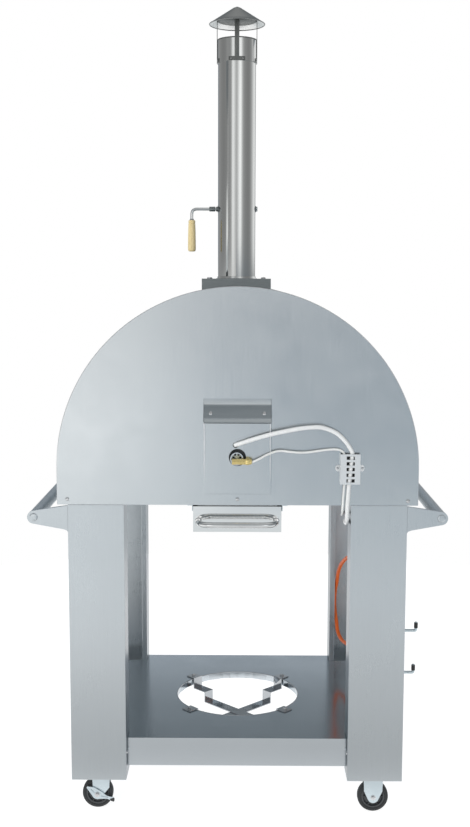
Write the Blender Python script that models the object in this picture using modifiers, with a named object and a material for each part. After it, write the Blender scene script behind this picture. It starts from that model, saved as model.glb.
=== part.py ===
"""Free-standing pizza oven: a barrel-roofed oven on a four-legged cart with castors.

Metres, +Z up. The origin is on the floor under the middle of the object. The oven's mouth
and door face +Y; its back, with the burner port and the drawer, faces -Y. Left and right
are as seen from behind the oven: left is -X and right is +X.
"""

import math

import bmesh
import bpy
from mathutils import Matrix, Vector

# Driving dimensions, in metres ---------------------------------------------------------------
GAP = 0.0003                      # air between pieces that touch

BODY_R = 0.421                    # outer radius of the roof, half the width of the body
BODY_DEPTH = 0.668                # over the rear and front panels
REAR_Y = -0.348                   # outer face of the rear panel
BODY_Z = 0.763                    # underside of the body
SPRING_Z = 0.849                  # where the straight sides turn into the roof's arc
SHEET = 0.0015                    # body and chimney sheet
PANEL = 0.002                     # end panels
VAULT_R = 0.3352                  # outer radius of the inner vault
PAN_TOP_Z = 0.7983
HEARTH_Z = 0.8098                 # underside of the hearth
HEARTH_THICK = 0.025
SLAB_THICK = 0.060                # insulated slabs at both ends of the chamber
MOUTH_R = 0.215                   # half the width of the mouth, and the radius of its arch

CHIMNEY_D = 0.455                 # chimney axis, in front of the rear face
CHIMNEY_X = -0.006                # and a little left of the middle
PIPE_R = 0.0497
PIPE_TOP_Z = 1.902
BASE_HALF = 0.090                 # half the side of the chimney's square base
BASE_TOP_Z = 1.289
COLLAR_TOP_Z = 1.909
BRIM_R = 0.0738
BRIM_Z = 1.9485
APEX_Z = 1.9935
DAMPER_Z = 1.473
CRANK_X = -0.1255                 # the crank's handle hangs this far left of the middle

LEG_IN, LEG_OUT = 0.2655, 0.3969  # inner and outer faces of a leg, from the middle
LEG_DEEP = 0.075
LEG_BOTTOM_Z = 0.089
LEG_SHEET = 0.002
LEG_LIP = 0.014

SHELF_SETBACK = 0.030             # the shelf's rails stand behind the faces of the legs
SHELF_TOP_Z = 0.183
SHELF_TALL = 0.0695
TANK_R = 0.162                    # hole that holds a gas bottle
WHEEL_R = 0.0375
WHEEL_WIDE = 0.024
BAR_X, BAR_Z, BAR_R = 0.4770, 0.7325, 0.0145   # side push bars

PORT_Z = 0.8766                   # burner port
BURNER_X, BURNER_Z = -0.0015, 0.8735
VALVE_D = (0.110, 0.250)          # valve casing, in front of the rear face
VALVE_X = (0.325, 0.392)
VALVE_Z = (0.665, 0.7620)
KNOB_D, KNOB_Z = 0.150, 0.710
BUTTON_D = 0.215

DOOR_R = 0.232
DOOR_THICK = 0.018

FRONT_Y = REAR_Y + BODY_DEPTH
CHIMNEY_Y = REAR_Y + CHIMNEY_D
MID_Y = REAR_Y + BODY_DEPTH / 2
LEG_MID_X = (LEG_IN + LEG_OUT) / 2


# Scene ----------------------------------------------------------------------------------------
def empty_scene():
    for item in list(bpy.data.objects):
        bpy.data.objects.remove(item, do_unlink=True)


def new_collection(name):
    found = bpy.data.collections.new(name)
    bpy.context.scene.collection.children.link(found)
    return found


def material(name, colour, roughness, metallic):
    made = bpy.data.materials.new(name)
    made.use_nodes = True
    shader = made.node_tree.nodes["Principled BSDF"]
    shader.inputs["Base Color"].default_value = (*colour, 1.0)
    shader.inputs["Roughness"].default_value = roughness
    shader.inputs["Metallic"].default_value = metallic
    made.diffuse_color = (*colour, 1.0)
    return made


empty_scene()
PARTS = new_collection("pizza_oven")
CUTTERS = new_collection("cutters")

STEEL = material("brushed_steel", (0.62, 0.65, 0.68), 0.32, 1.0)
DULL_STEEL = material("flue_steel", (0.50, 0.51, 0.52), 0.30, 1.0)
BRIGHT = material("polished_steel", (0.72, 0.73, 0.74), 0.15, 1.0)
ZINC = material("zinc_plate", (0.60, 0.66, 0.70), 0.35, 1.0)
STONE = material("hearth_stone", (0.72, 0.64, 0.52), 0.90, 0.0)
BLANKET = material("ceramic_blanket", (0.86, 0.85, 0.82), 0.95, 0.0)
WOOD = material("pale_wood", (0.86, 0.76, 0.45), 0.50, 0.0)
RUBBER = material("black_rubber", (0.05, 0.06, 0.06), 0.60, 0.0)
BLACK = material("black_plastic", (0.05, 0.05, 0.05), 0.40, 0.0)
BRASS = material("brass", (0.84, 0.68, 0.32), 0.30, 1.0)
SLEEVE = material("white_sleeve", (0.90, 0.92, 0.92), 0.60, 0.0)
HOSE = material("orange_hose", (0.85, 0.20, 0.06), 0.45, 0.0)
CASE = material("painted_case", (0.16, 0.16, 0.17), 0.45, 0.0)


# Shape tools ----------------------------------------------------------------------------------
def smooth(item, angle=35.0):
    item.data.shade_smooth()
    item.data.set_sharp_from_angle(angle=math.radians(angle))


def add_object(name, mesh, look, at=(0.0, 0.0, 0.0), collection=None):
    item = bpy.data.objects.new(name, mesh)
    item.location = at
    mesh.materials.clear()
    mesh.materials.append(look)
    (collection or PARTS).objects.link(item)
    return item


def mesh_of(shape, name="shape"):
    mesh = bpy.data.meshes.new(name)
    bmesh.ops.recalc_face_normals(shape, faces=shape.faces)
    shape.to_mesh(mesh)
    shape.free()
    return mesh


def box(name, low, high, look, bevel=0.0, segments=2, origin=None):
    """A box between two corners, with its origin in its middle or at a given point."""
    low, high = Vector(low), Vector(high)
    at = Vector(origin) if origin else (low + high) / 2
    shape = bmesh.new()
    bmesh.ops.create_cube(shape, size=1.0)
    bmesh.ops.scale(shape, vec=high - low, verts=shape.verts)
    bmesh.ops.translate(shape, vec=(low + high) / 2 - at, verts=shape.verts)
    if bevel:
        bmesh.ops.bevel(shape, geom=shape.edges[:], offset=bevel, segments=segments,
                        profile=0.5, affect="EDGES")
    return add_object(name, mesh_of(shape), look, at)


def rod(name, start, end, radius, look, sides=24, origin=None):
    """A round bar from one point to another."""
    start, end = Vector(start), Vector(end)
    at = Vector(origin) if origin else (start + end) / 2
    shape = bmesh.new()
    bmesh.ops.create_cone(shape, cap_ends=True, segments=sides, radius1=radius,
                          radius2=radius, depth=(end - start).length)
    turn = Vector((0, 0, 1)).rotation_difference(end - start).to_matrix()
    bmesh.ops.rotate(shape, cent=(0, 0, 0), matrix=turn, verts=shape.verts)
    bmesh.ops.translate(shape, vec=(start + end) / 2 - at, verts=shape.verts)
    item = add_object(name, mesh_of(shape), look, at)
    smooth(item)
    return item


def turned(name, profile, at, axis, look, steps=32, closed=False):
    """A profile of (radius, height) points spun about an axis through a point.

    The profile runs down the outer side; a closed one makes a ring."""
    shape = bmesh.new()
    points = [shape.verts.new((radius, 0.0, height)) for radius, height in profile]
    for first, second in zip(points, points[1:]):
        shape.edges.new((first, second))
    if closed:
        shape.edges.new((points[-1], points[0]))
    mesh = bpy.data.meshes.new(name)
    shape.to_mesh(mesh)
    shape.free()
    item = add_object(name, mesh, look, at)
    item.rotation_mode = "QUATERNION"
    item.rotation_quaternion = Vector((0, 0, 1)).rotation_difference(Vector(axis))
    spin = item.modifiers.new("Screw", "SCREW")
    spin.steps = steps
    spin.render_steps = steps
    spin.use_merge_vertices = True
    spin.merge_threshold = 0.00005
    spin.use_smooth_shade = True
    return item


def as_mesh(item):
    """A curve or modified object as a plain welded mesh, at the same place."""
    bpy.context.view_layer.update()
    seen = item.evaluated_get(bpy.context.evaluated_depsgraph_get())
    mesh = bpy.data.meshes.new_from_object(seen)
    shape = bmesh.new()
    shape.from_mesh(mesh)
    bmesh.ops.remove_doubles(shape, verts=shape.verts, dist=0.00001)
    bmesh.ops.recalc_face_normals(shape, faces=shape.faces)
    shape.to_mesh(mesh)
    shape.free()
    name, place = item.name, item.matrix_world.copy()
    look = item.active_material
    bpy.data.objects.remove(item, do_unlink=True)
    made = add_object(name, mesh, look)
    made.matrix_world = place
    return made


# A flat outline is drawn on the XY plane; these turn it to stand across another axis.
ACROSS = {
    "X": Matrix(((0, 0, 1, 0), (1, 0, 0, 0), (0, 1, 0, 0), (0, 0, 0, 1))),
    "Y": Matrix(((1, 0, 0, 0), (0, 0, -1, 0), (0, 1, 0, 0), (0, 0, 0, 1))),
    "Z": Matrix.Identity(4),
}


def outline_solid(name, loops, low, high, look, across="Y"):
    """A flat outline, with any holes, given thickness from low to high across an axis.

    Points are (x, z) across Y, (y, z) across X and (x, y) across Z."""
    drawing = bpy.data.curves.new(name, "CURVE")
    drawing.dimensions = "2D"
    drawing.fill_mode = "BOTH"
    drawing.extrude = (high - low) / 2
    for loop in loops:
        line = drawing.splines.new("POLY")
        line.points.add(len(loop) - 1)
        for point, (u, v) in zip(line.points, loop):
            point.co = (u, v, 0.0, 1.0)
        line.use_cyclic_u = True
    item = add_object(name, drawing, look)
    shift = {"X": (1, 0, 0), "Y": (0, 1, 0), "Z": (0, 0, 1)}[across]
    item.matrix_world = Matrix.Translation(Vector(shift) * (low + high) / 2) @ ACROSS[across]
    return as_mesh(item)


def folded(name, profile, low, high, thick, look, across="Y"):
    """Folded sheet: an open profile drawn out from low to high, then given thickness."""
    shape = bmesh.new()
    near = [shape.verts.new((u, v, low)) for u, v in profile]
    edges = [shape.edges.new(pair) for pair in zip(near, near[1:])]
    made = bmesh.ops.extrude_edge_only(shape, edges=edges)
    far = [part for part in made["geom"] if isinstance(part, bmesh.types.BMVert)]
    bmesh.ops.translate(shape, vec=(0, 0, high - low), verts=far)
    mesh = mesh_of(shape, name)
    item = add_object(name, mesh, look)
    item.matrix_world = ACROSS[across]
    solid = item.modifiers.new("Solidify", "SOLIDIFY")
    solid.thickness = thick
    solid.offset = 0.0
    solid.use_even_offset = True
    return as_mesh(item)


def arc(centre, radius, start, end, steps):
    """Points round an arc, with angles in degrees from +u towards +v."""
    return [(centre[0] + radius * math.cos(math.radians(start + (end - start) * i / steps)),
             centre[1] + radius * math.sin(math.radians(start + (end - start) * i / steps)))
            for i in range(steps + 1)]


def circle(centre, radius, steps=32):
    return arc(centre, radius, 0.0, 360.0, steps)[:-1]


def arch(radius, bottom, steps=32):
    """The outline of a barrel vault: a half circle on straight sides."""
    return [(radius, bottom)] + arc((0.0, SPRING_Z), radius, 0.0, 180.0, steps) + [
        (-radius, bottom)]


def rect(u0, u1, v0, v1):
    return [(u0, v0), (u1, v0), (u1, v1), (u0, v1)]


def hide_cutter(item):
    CUTTERS.objects.link(item)
    PARTS.objects.unlink(item)
    item.hide_render = True
    item.display_type = "WIRE"


def combine(item, other, operation):
    """Cut another object out of this one, or join it on."""
    change = item.modifiers.new(operation.title(), "BOOLEAN")
    change.operation = operation
    change.solver = "EXACT"
    change.object = other
    hide_cutter(other)
    return item


def cut(item, *tools):
    for tool in tools:
        combine(item, tool, "DIFFERENCE")
    return item


def join(item, *others):
    for other in others:
        combine(item, other, "UNION")
    return item


def smooth_route(points, steps):
    """A smooth curve through the route's points, as evenly spaced points."""
    ends = [points[0] * 2 - points[1]] + points + [points[-1] * 2 - points[-2]]
    fine = []
    for a, b, c, d in zip(ends, ends[1:], ends[2:], ends[3:]):
        for i in range(24):
            t = i / 24
            fine.append(0.5 * (2 * b + (c - a) * t + (2 * a - 5 * b + 4 * c - d) * t * t
                               + (3 * b - a - 3 * c + d) * t ** 3))
    fine.append(points[-1])
    travelled = [0.0]
    for first, second in zip(fine, fine[1:]):
        travelled.append(travelled[-1] + (second - first).length)
    spaced, index = [], 0
    for i in range(steps + 1):
        target = travelled[-1] * i / steps
        while index < len(fine) - 2 and travelled[index + 1] < target:
            index += 1
        span = max(travelled[index + 1] - travelled[index], 1e-9)
        spaced.append(fine[index].lerp(fine[index + 1], (target - travelled[index]) / span))
    return spaced


def tube(name, points, radius, look, resolution=2, origin=(0.0, 0.0, 0.0)):
    """A round tube along a line of points."""
    line = bpy.data.curves.new(name, "CURVE")
    line.dimensions = "3D"
    line.bevel_depth = radius
    line.bevel_resolution = resolution
    line.use_fill_caps = True
    spline = line.splines.new("POLY")
    spline.points.add(len(points) - 1)
    for knot, place in zip(spline.points, points):
        knot.co = (*(Vector(place) - Vector(origin)), 1.0)
    return add_object(name, line, look, origin)


def bent(corners, radius, steps=6):
    """A line through corner points, with its inner corners rounded."""
    corners = [Vector(corner) for corner in corners]
    line = [corners[0]]
    for before, corner, after in zip(corners, corners[1:], corners[2:]):
        into, out = (corner - before).normalized(), (after - corner).normalized()
        start, end = corner - into * radius, corner + out * radius
        for i in range(steps + 1):
            t = i / steps
            line.append(start.lerp(corner, t).lerp(corner.lerp(end, t), t))
    return line + [corners[-1]]


def pivot(name, at):
    """An empty on a joint's axis, which the joint's pieces hang from."""
    mark = bpy.data.objects.new(name, None)
    mark.empty_display_size = 0.03
    mark.location = at
    PARTS.objects.link(mark)
    return mark


def hang(mark, *items):
    for item in items:
        item.parent = mark
        item.matrix_parent_inverse = Matrix.Translation(-Vector(mark.location))


def behind(depth):
    """Y of a place this far in front of the rear face; negative is behind the oven."""
    return REAR_Y + depth


# Oven body ------------------------------------------------------------------------------------
def oven_body():
    inside = (REAR_Y + PANEL + GAP, FRONT_Y - PANEL - GAP)
    flue = rod("flue_cutter", (CHIMNEY_X, CHIMNEY_Y, 1.10), (CHIMNEY_X, CHIMNEY_Y, 1.40),
               PIPE_R + 0.0006, STEEL, sides=32)

    shell_r = BODY_R - SHEET / 2
    shell = folded("outer_shell", arch(shell_r, BODY_Z + GAP), -inside[1], -inside[0], SHEET,
                   STEEL)
    cut(shell, flue)

    blanket_r = BODY_R - SHEET - GAP
    blanket = arch(blanket_r, HEARTH_Z + GAP) + arch(VAULT_R + GAP, HEARTH_Z + GAP)[::-1]
    cut_same(outline_solid("insulation_blanket", [blanket], *inside, BLANKET), flue)

    vault = folded("inner_vault", arch(VAULT_R - SHEET / 2, HEARTH_Z + GAP),
                   -inside[1], -inside[0], SHEET, DULL_STEEL)
    cut_same(vault, flue)

    slab_r = VAULT_R - SHEET - GAP
    slab_end = inside[0] + SLAB_THICK
    slab = outline_solid("rear_slab", [arch(slab_r, HEARTH_Z + GAP), circle(
        (BURNER_X, BURNER_Z), 0.0170, 24), circle((-0.0045, 0.9053), 0.0062, 12)],
        inside[0], slab_end, BLANKET)
    smooth(slab)
    mouth = arch(MOUTH_R, HEARTH_Z + GAP, 24)
    surround = arch(slab_r, HEARTH_Z + GAP) + mouth[::-1]
    outline_solid("mouth_arch", [surround], inside[1] - SLAB_THICK, inside[1], BLANKET)

    rear_holes = [circle((0.0, PORT_Z), 0.0190, 24), circle((-0.0045, 0.9053), 0.0062, 12)]
    outline_solid("rear_panel", [arch(BODY_R, BODY_Z, 48)] + rear_holes, REAR_Y,
                  REAR_Y + PANEL, STEEL)
    opening = arch(MOUTH_R, HEARTH_Z - GAP, 24)
    outline_solid("front_panel", [arch(BODY_R, BODY_Z, 48), opening], FRONT_Y - PANEL, FRONT_Y,
                  STEEL)

    wide = BODY_R - SHEET - 0.0008
    pan = box("base_pan", (-wide, inside[0], BODY_Z + GAP), (wide, inside[1], PAN_TOP_Z), STEEL)
    wall = 0.002
    cut(pan, box("pan_cutter", (-wide + wall, inside[0] + wall, BODY_Z + GAP + wall),
                 (wide - wall, inside[1] - wall, PAN_TOP_Z + 0.01), STEEL))
    board = wide - wall - GAP
    box("floor_insulation", (-board, inside[0] + wall + GAP, BODY_Z + wall + 2 * GAP),
        (board, inside[1] - wall - GAP, HEARTH_Z - GAP), BLANKET)

    # The hearth: two large tiles in the chamber and a narrow one in the mouth.
    top = HEARTH_Z + HEARTH_THICK
    tile_y = (slab_end + GAP, inside[1] - SLAB_THICK - 2 * GAP)
    tile_x = VAULT_R - SHEET - 0.0012
    box("hearth_tile_left", (-tile_x, tile_y[0], HEARTH_Z), (-0.0006, tile_y[1], top), STONE,
        bevel=0.0015, segments=1)
    box("hearth_tile_right", (0.0006, tile_y[0], HEARTH_Z), (tile_x, tile_y[1], top), STONE,
        bevel=0.0015, segments=1)
    box("hearth_threshold", (-MOUTH_R + 0.0005, tile_y[1] + 0.0006, HEARTH_Z),
        (MOUTH_R - 0.0005, FRONT_Y - GAP, top), STONE, bevel=0.0015, segments=1)


def cut_same(item, tool):
    """Cut with a tool that another piece already uses."""
    change = item.modifiers.new("Difference", "BOOLEAN")
    change.operation = "DIFFERENCE"
    change.solver = "EXACT"
    change.object = tool
    return item


# Mouth: landing shelf and lift-off door ---------------------------------------------------------
def landing():
    top = HEARTH_Z + HEARTH_THICK - GAP
    outer = rect(-0.300, 0.300, FRONT_Y + GAP, FRONT_Y + 0.085)
    shelf = outline_solid("landing_shelf", [outer], top - 0.030, top, STEEL, across="Z")
    cut(shelf, box("landing_cutter", (-0.2985, FRONT_Y + GAP + 0.0015, top - 0.040),
                   (0.2985, FRONT_Y + 0.0835, top - 0.0015), STEEL))


def door():
    face = FRONT_Y + 0.0006
    bottom = HEARTH_Z + HEARTH_THICK + 0.0012
    slide = pivot("door_slide_axis", (0, face, SPRING_Z))
    panel = outline_solid("door_panel", [arch(DOOR_R, bottom, 24)], face, face + DOOR_THICK,
                          STEEL)
    plug = outline_solid("door_plug", [arch(MOUTH_R - 0.004, bottom, 24)], face - 0.022,
                         face + 0.001, STEEL)
    join(panel, plug)
    front = face + DOOR_THICK

    bar_y, bar_z = front + 0.052, 0.930
    corners = [(-0.085, front + GAP, bar_z), (-0.085, bar_y, bar_z), (0.085, bar_y, bar_z),
               (0.085, front + GAP, bar_z)]
    bracket = tube("door_bracket", bent(corners, 0.018), 0.005, BRIGHT)
    bore, outer, half = 0.0054, 0.0130, 0.058
    grip = turned("door_grip", [(bore, half), (outer - 0.003, half), (outer, half - 0.004),
                                (outer, 0.004 - half), (outer - 0.003, -half), (bore, -half)],
                  (0, bar_y, bar_z), (1, 0, 0), WOOD, steps=20, closed=True)
    dial = turned("door_thermometer", [(0, 0.012), (0.026, 0.012), (0.030, 0.009), (0.030, GAP),
                                       (0, GAP)], (0, front, 1.010), (0, 1, 0), BRIGHT, steps=32)
    hang(slide, panel, bracket, grip, dial)


# Chimney ----------------------------------------------------------------------------------------
def chimney():
    left, right = CHIMNEY_X - BASE_HALF, CHIMNEY_X + BASE_HALF
    near, far = CHIMNEY_Y - BASE_HALF, CHIMNEY_Y + BASE_HALF
    base_low = SPRING_Z + math.sqrt(BODY_R ** 2 - left ** 2) - 0.02
    base = box("chimney_base", (left, near, base_low), (right, far, BASE_TOP_Z), DULL_STEEL)
    wall = 0.002
    hollow = box("base_cutter", (left + wall, near + wall, base_low - 0.01),
                 (right - wall, far - wall, BASE_TOP_Z - wall), STEEL)
    saddle = rod("saddle_cutter", (0, near - 0.05, SPRING_Z), (0, far + 0.05, SPRING_Z),
                 BODY_R + GAP, STEEL, sides=192)
    bore = rod("bore_cutter", (CHIMNEY_X, CHIMNEY_Y, BASE_TOP_Z - 0.03),
               (CHIMNEY_X, CHIMNEY_Y, BASE_TOP_Z + 0.03), PIPE_R + 0.0006, STEEL, sides=32)
    cut(base, hollow, saddle, bore)

    axis = (CHIMNEY_X, CHIMNEY_Y, 0)
    bottom = SPRING_Z + VAULT_R + 0.002
    pipe = turned("chimney_pipe", [(PIPE_R - SHEET, PIPE_TOP_Z), (PIPE_R, PIPE_TOP_Z),
                                   (PIPE_R, bottom), (PIPE_R - SHEET, bottom)],
                  axis, (0, 0, 1), DULL_STEEL, steps=32, closed=True)
    cut(pipe, rod("shaft_cutter", (-0.08, CHIMNEY_Y, DAMPER_Z), (0.08, CHIMNEY_Y, DAMPER_Z),
                  0.0046, STEEL, sides=16))

    # The collar round the pipe's end, with a rolled rim; its four straps end in T-shaped feet
    # below and carry a disc that closes the cap from inside.
    inner = PIPE_R + GAP
    outer = inner + 0.0014
    rim = COLLAR_TOP_Z
    frame = turned("cap_frame", [(inner, rim), (outer + 0.0010, rim), (outer + 0.0014, rim - 0.0015),
                                 (outer + 0.0010, rim - 0.0030), (outer, rim - 0.0034),
                                 (outer, 1.849), (inner, 1.849)],
                   axis, (0, 0, 1), DULL_STEEL, steps=32, closed=True)
    disc = rod("cap_disc", (CHIMNEY_X, CHIMNEY_Y, 1.9560), (CHIMNEY_X, CHIMNEY_Y, 1.9578),
               outer + 0.0004, DULL_STEEL, sides=32)
    join(frame, disc)
    foot_low, foot_high, strap_high = 1.8490, 1.8595, 1.9570
    for turn in range(4):
        spin = Matrix.Translation(axis) @ Matrix.Rotation(turn * math.pi / 2, 4, "Z")
        strap = box("cap_strap", (outer - 0.0008, -0.0058, foot_high - 0.002),
                    (outer + 0.0010, 0.0058, strap_high), DULL_STEEL, origin=(0, 0, 0))
        bend = [(radius * math.cos(angle), radius * math.sin(angle))
                for radius, way in ((outer + 0.0010, 1), (outer - 0.0008, -1))
                for angle in [way * math.radians(-24 + 8 * i) for i in range(7)]]
        foot = outline_solid("cap_foot", [bend], foot_low, foot_high, DULL_STEEL, across="Z")
        strap.matrix_world = spin
        foot.matrix_world = spin @ foot.matrix_world
        join(frame, strap, foot)

    thick, nose = 0.0014, 0.0044
    cone = [(0.0, APEX_Z), (0.006, APEX_Z - 0.0011), (0.012, APEX_Z - nose),
            (BRIM_R, BRIM_Z), (BRIM_R - 0.0006, BRIM_Z - thick),
            (0.012, APEX_Z - nose - thick * 1.2), (0.006, APEX_Z - 0.0011 - thick),
            (0.0, APEX_Z - thick)]
    turned("cap_cone", cone, axis, (0, 0, 1), DULL_STEEL, steps=32)


def damper():
    axis = (CHIMNEY_X, CHIMNEY_Y, DAMPER_Z)
    turn = pivot("damper_axis", axis)
    grip_top, grip_bottom = 1.444, 1.361
    corners = [(CHIMNEY_X + 0.0545, CHIMNEY_Y, DAMPER_Z), (CRANK_X, CHIMNEY_Y, DAMPER_Z),
               (CRANK_X, CHIMNEY_Y, grip_top - 0.034)]
    shaft = tube("damper_rod", bent(corners, 0.014), 0.0040, BRIGHT, origin=axis)
    plate = rod("damper_plate", (CHIMNEY_X, CHIMNEY_Y + 0.0043, DAMPER_Z),
                (CHIMNEY_X, CHIMNEY_Y + 0.0061, DAMPER_Z), 0.0450, DULL_STEEL, sides=32,
                origin=axis)
    bore, outer = 0.0044, 0.0105
    grip = turned("damper_grip", [(0.0, 0.083), (bore, 0.083), (outer - 0.002, 0.083),
                                  (outer, 0.080), (outer, 0.003), (outer - 0.002, 0.0),
                                  (0.0, 0.0)],
                  (CRANK_X, CHIMNEY_Y, grip_bottom), (0, 0, 1), WOOD, steps=20)
    cut(grip, rod("grip_cutter", (CRANK_X, CHIMNEY_Y, grip_top - 0.036),
                  (CRANK_X, CHIMNEY_Y, grip_top + 0.01), bore, STEEL, sides=12))
    hang(turn, shaft, plate, grip)


# Gas equipment ------------------------------------------------------------------------------------
def burner():
    turned("burner_tube", [(0.0127, 0.095), (0.0147, 0.095), (0.0147, -0.009),
                           (0.0127, -0.009)],
           (BURNER_X, REAR_Y, BURNER_Z), (0, 1, 0), BRIGHT, steps=24, closed=True)
    body = rod("gas_fitting", (-0.0126, behind(-0.020), 0.8690),
               (0.0293, behind(-0.020), 0.8690), 0.0072, BRASS, sides=6)
    body.data.shade_flat()
    join(body, rod("fitting_stub", (BURNER_X, behind(-0.021), 0.8700),
                   (BURNER_X, behind(0.018), 0.8700), 0.0050, BRASS, sides=16))

    # Cover plate round the port: a shallow pan whose edges are folded back to the panel.
    half, low, high, proud = 0.0785, 0.790, 0.9565, 0.006
    cover = box("access_cover", (-half, behind(-proud), low), (half, behind(-GAP), high), STEEL)
    back = box("cover_cutter", (0.0012 - half, behind(0.0012 - proud), low + 0.0012),
               (half - 0.0012, behind(0.01), high - 0.0012), STEEL)
    port = rod("port_cutter", (0, behind(-0.03), PORT_Z), (0, behind(0.01), PORT_Z), 0.0190,
               STEEL, sides=24)
    entry = rod("entry_cutter", (-0.0045, behind(-0.03), 0.9053),
                (-0.0045, behind(0.01), 0.9053), 0.0062, STEEL, sides=12)
    cut(cover, back, port, entry)

    # Hood over the plate: slopes out from the panel, drops, and ends in a small lip.
    slope = [(behind(-0.0010), 1.0130), (behind(-0.0010), 1.0060), (behind(-0.0160), 0.9900),
             (behind(-0.0160), 0.9690), (behind(-0.0210), 0.9665), (behind(-0.0210), 0.9590)]
    folded("burner_hood", slope, -0.0787, 0.0787, 0.0012, STEEL, across="X")


def gas_lines():
    sleeve = [(-0.0045, 0.020, 0.9053), (-0.0045, 0.004, 0.9053), (0.0011, -0.0130, 0.9085),
              (0.046, -0.0190, 0.9239), (0.0856, -0.0200, 0.9347), (0.1385, -0.0190, 0.9454),
              (0.1728, -0.0170, 0.9490), (0.1965, -0.0150, 0.9478), (0.2259, -0.0120, 0.9363),
              (0.2472, -0.0090, 0.9178), (0.2622, -0.0072, 0.8964), (0.2663, -0.0068, 0.8830),
              (0.2629, -0.0068, 0.8489), (0.2591, -0.0068, 0.8092), (0.2576, -0.0080, 0.7857),
              (0.2560, -0.0085, 0.7618), (0.2560, -0.0030, 0.7400), (0.2572, 0.0200, 0.7180),
              (0.2580, 0.0600, 0.7120), (0.2625, 0.0820, 0.7120), (0.2800, 0.0895, 0.7120),
              (0.3120, 0.0890, 0.7120), (0.3360, 0.0890, 0.7120), (0.3480, 0.0930, 0.7120),
              (0.3530, 0.1020, 0.7120), (0.3530, 0.1090, 0.7120)]
    line = [(0.0297, -0.0200, 0.8690), (0.0370, -0.0200, 0.8692), (0.0516, -0.0180, 0.8755),
            (0.0728, -0.0130, 0.8861), (0.0966, -0.0110, 0.8930), (0.1257, -0.0100, 0.8903),
            (0.1523, -0.0090, 0.8889), (0.1789, -0.0090, 0.8918), (0.2054, -0.0080, 0.8954),
            (0.2266, -0.0070, 0.8964), (0.2398, -0.0065, 0.8934), (0.2478, -0.0060, 0.8830),
            (0.2482, -0.0060, 0.8485), (0.2483, -0.0060, 0.8135), (0.2464, -0.0060, 0.7852),
            (0.2451, -0.0060, 0.7614), (0.2451, -0.0010, 0.7480), (0.2462, 0.0200, 0.7370),
            (0.2510, 0.0550, 0.7330), (0.2620, 0.0850, 0.7320), (0.2860, 0.0900, 0.7320),
            (0.3200, 0.0890, 0.7320), (0.3410, 0.0890, 0.7320), (0.3520, 0.0940, 0.7320),
            (0.3560, 0.1020, 0.7320), (0.3560, 0.1092, 0.7320)]
    for name, route, radius, look in (("ignition_sleeve", sleeve, 0.0050, SLEEVE),
                                      ("gas_tube", line, 0.0026, BRIGHT)):
        points = [Vector((x, behind(depth), z)) for x, depth, z in route]
        tube(name, smooth_route(points, 72), radius, look)

    # Perforated cover that clips both lines to the rear panel.
    x0, x1, z0, z1, proud = 0.2385, 0.2845, 0.8150, 0.8860, 0.0140
    cover = box("line_cover", (x0, behind(-proud), z0), (x1, behind(-GAP), z1), BRIGHT)
    cut(cover, box("channel_cutter", (x0 + 0.0012, behind(0.0012 - proud), z0 - 0.01),
                   (x1 - 0.0012, behind(0.01), z1 + 0.01), STEEL))
    for i in range(5):
        z = 0.8237 + i * 0.01335
        cut(cover, box("slot_cutter", (0.2525, behind(-0.02), z - 0.0038),
                       (0.2715, behind(-0.006), z + 0.0038), STEEL))


def gas_valve():
    case = box("valve_casing", (VALVE_X[0], behind(VALVE_D[0]), VALVE_Z[0]),
               (VALVE_X[1], behind(VALVE_D[1]), VALVE_Z[1]), CASE, bevel=0.003)
    well = rod("well_cutter", (VALVE_X[1] - 0.012, behind(BUTTON_D), KNOB_Z),
               (VALVE_X[1] + 0.01, behind(BUTTON_D), KNOB_Z), 0.0090, STEEL)
    cut(case, well)
    face = VALVE_X[1] + 0.0005
    turned("gas_knob", [(0, 0.022), (0.0160, 0.022), (0.0180, 0.019), (0.0195, 0.004),
                        (0.0210, 0.0), (0, 0.0)], (face, behind(KNOB_D), KNOB_Z), (1, 0, 0),
           BLACK, steps=28)
    turned("igniter_button", [(0, 0.014), (0.0075, 0.014), (0.0085, 0.012), (0.0085, 0.0),
                              (0, 0.0)], (VALVE_X[1] - 0.0055, behind(BUTTON_D), KNOB_Z),
           (1, 0, 0), BLACK, steps=20)
    elbow_z, hose_x, hose_y = 0.7520, 0.2765, behind(0.125)
    elbow = rod("hose_elbow", (VALVE_X[0] - GAP, hose_y, elbow_z),
                (hose_x - 0.006, hose_y, elbow_z), 0.0062, BRASS, sides=16)
    join(elbow, rod("elbow_stub", (hose_x, hose_y, elbow_z), (hose_x, hose_y, 0.7350), 0.0055,
                    BRASS, sides=16))


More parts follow.
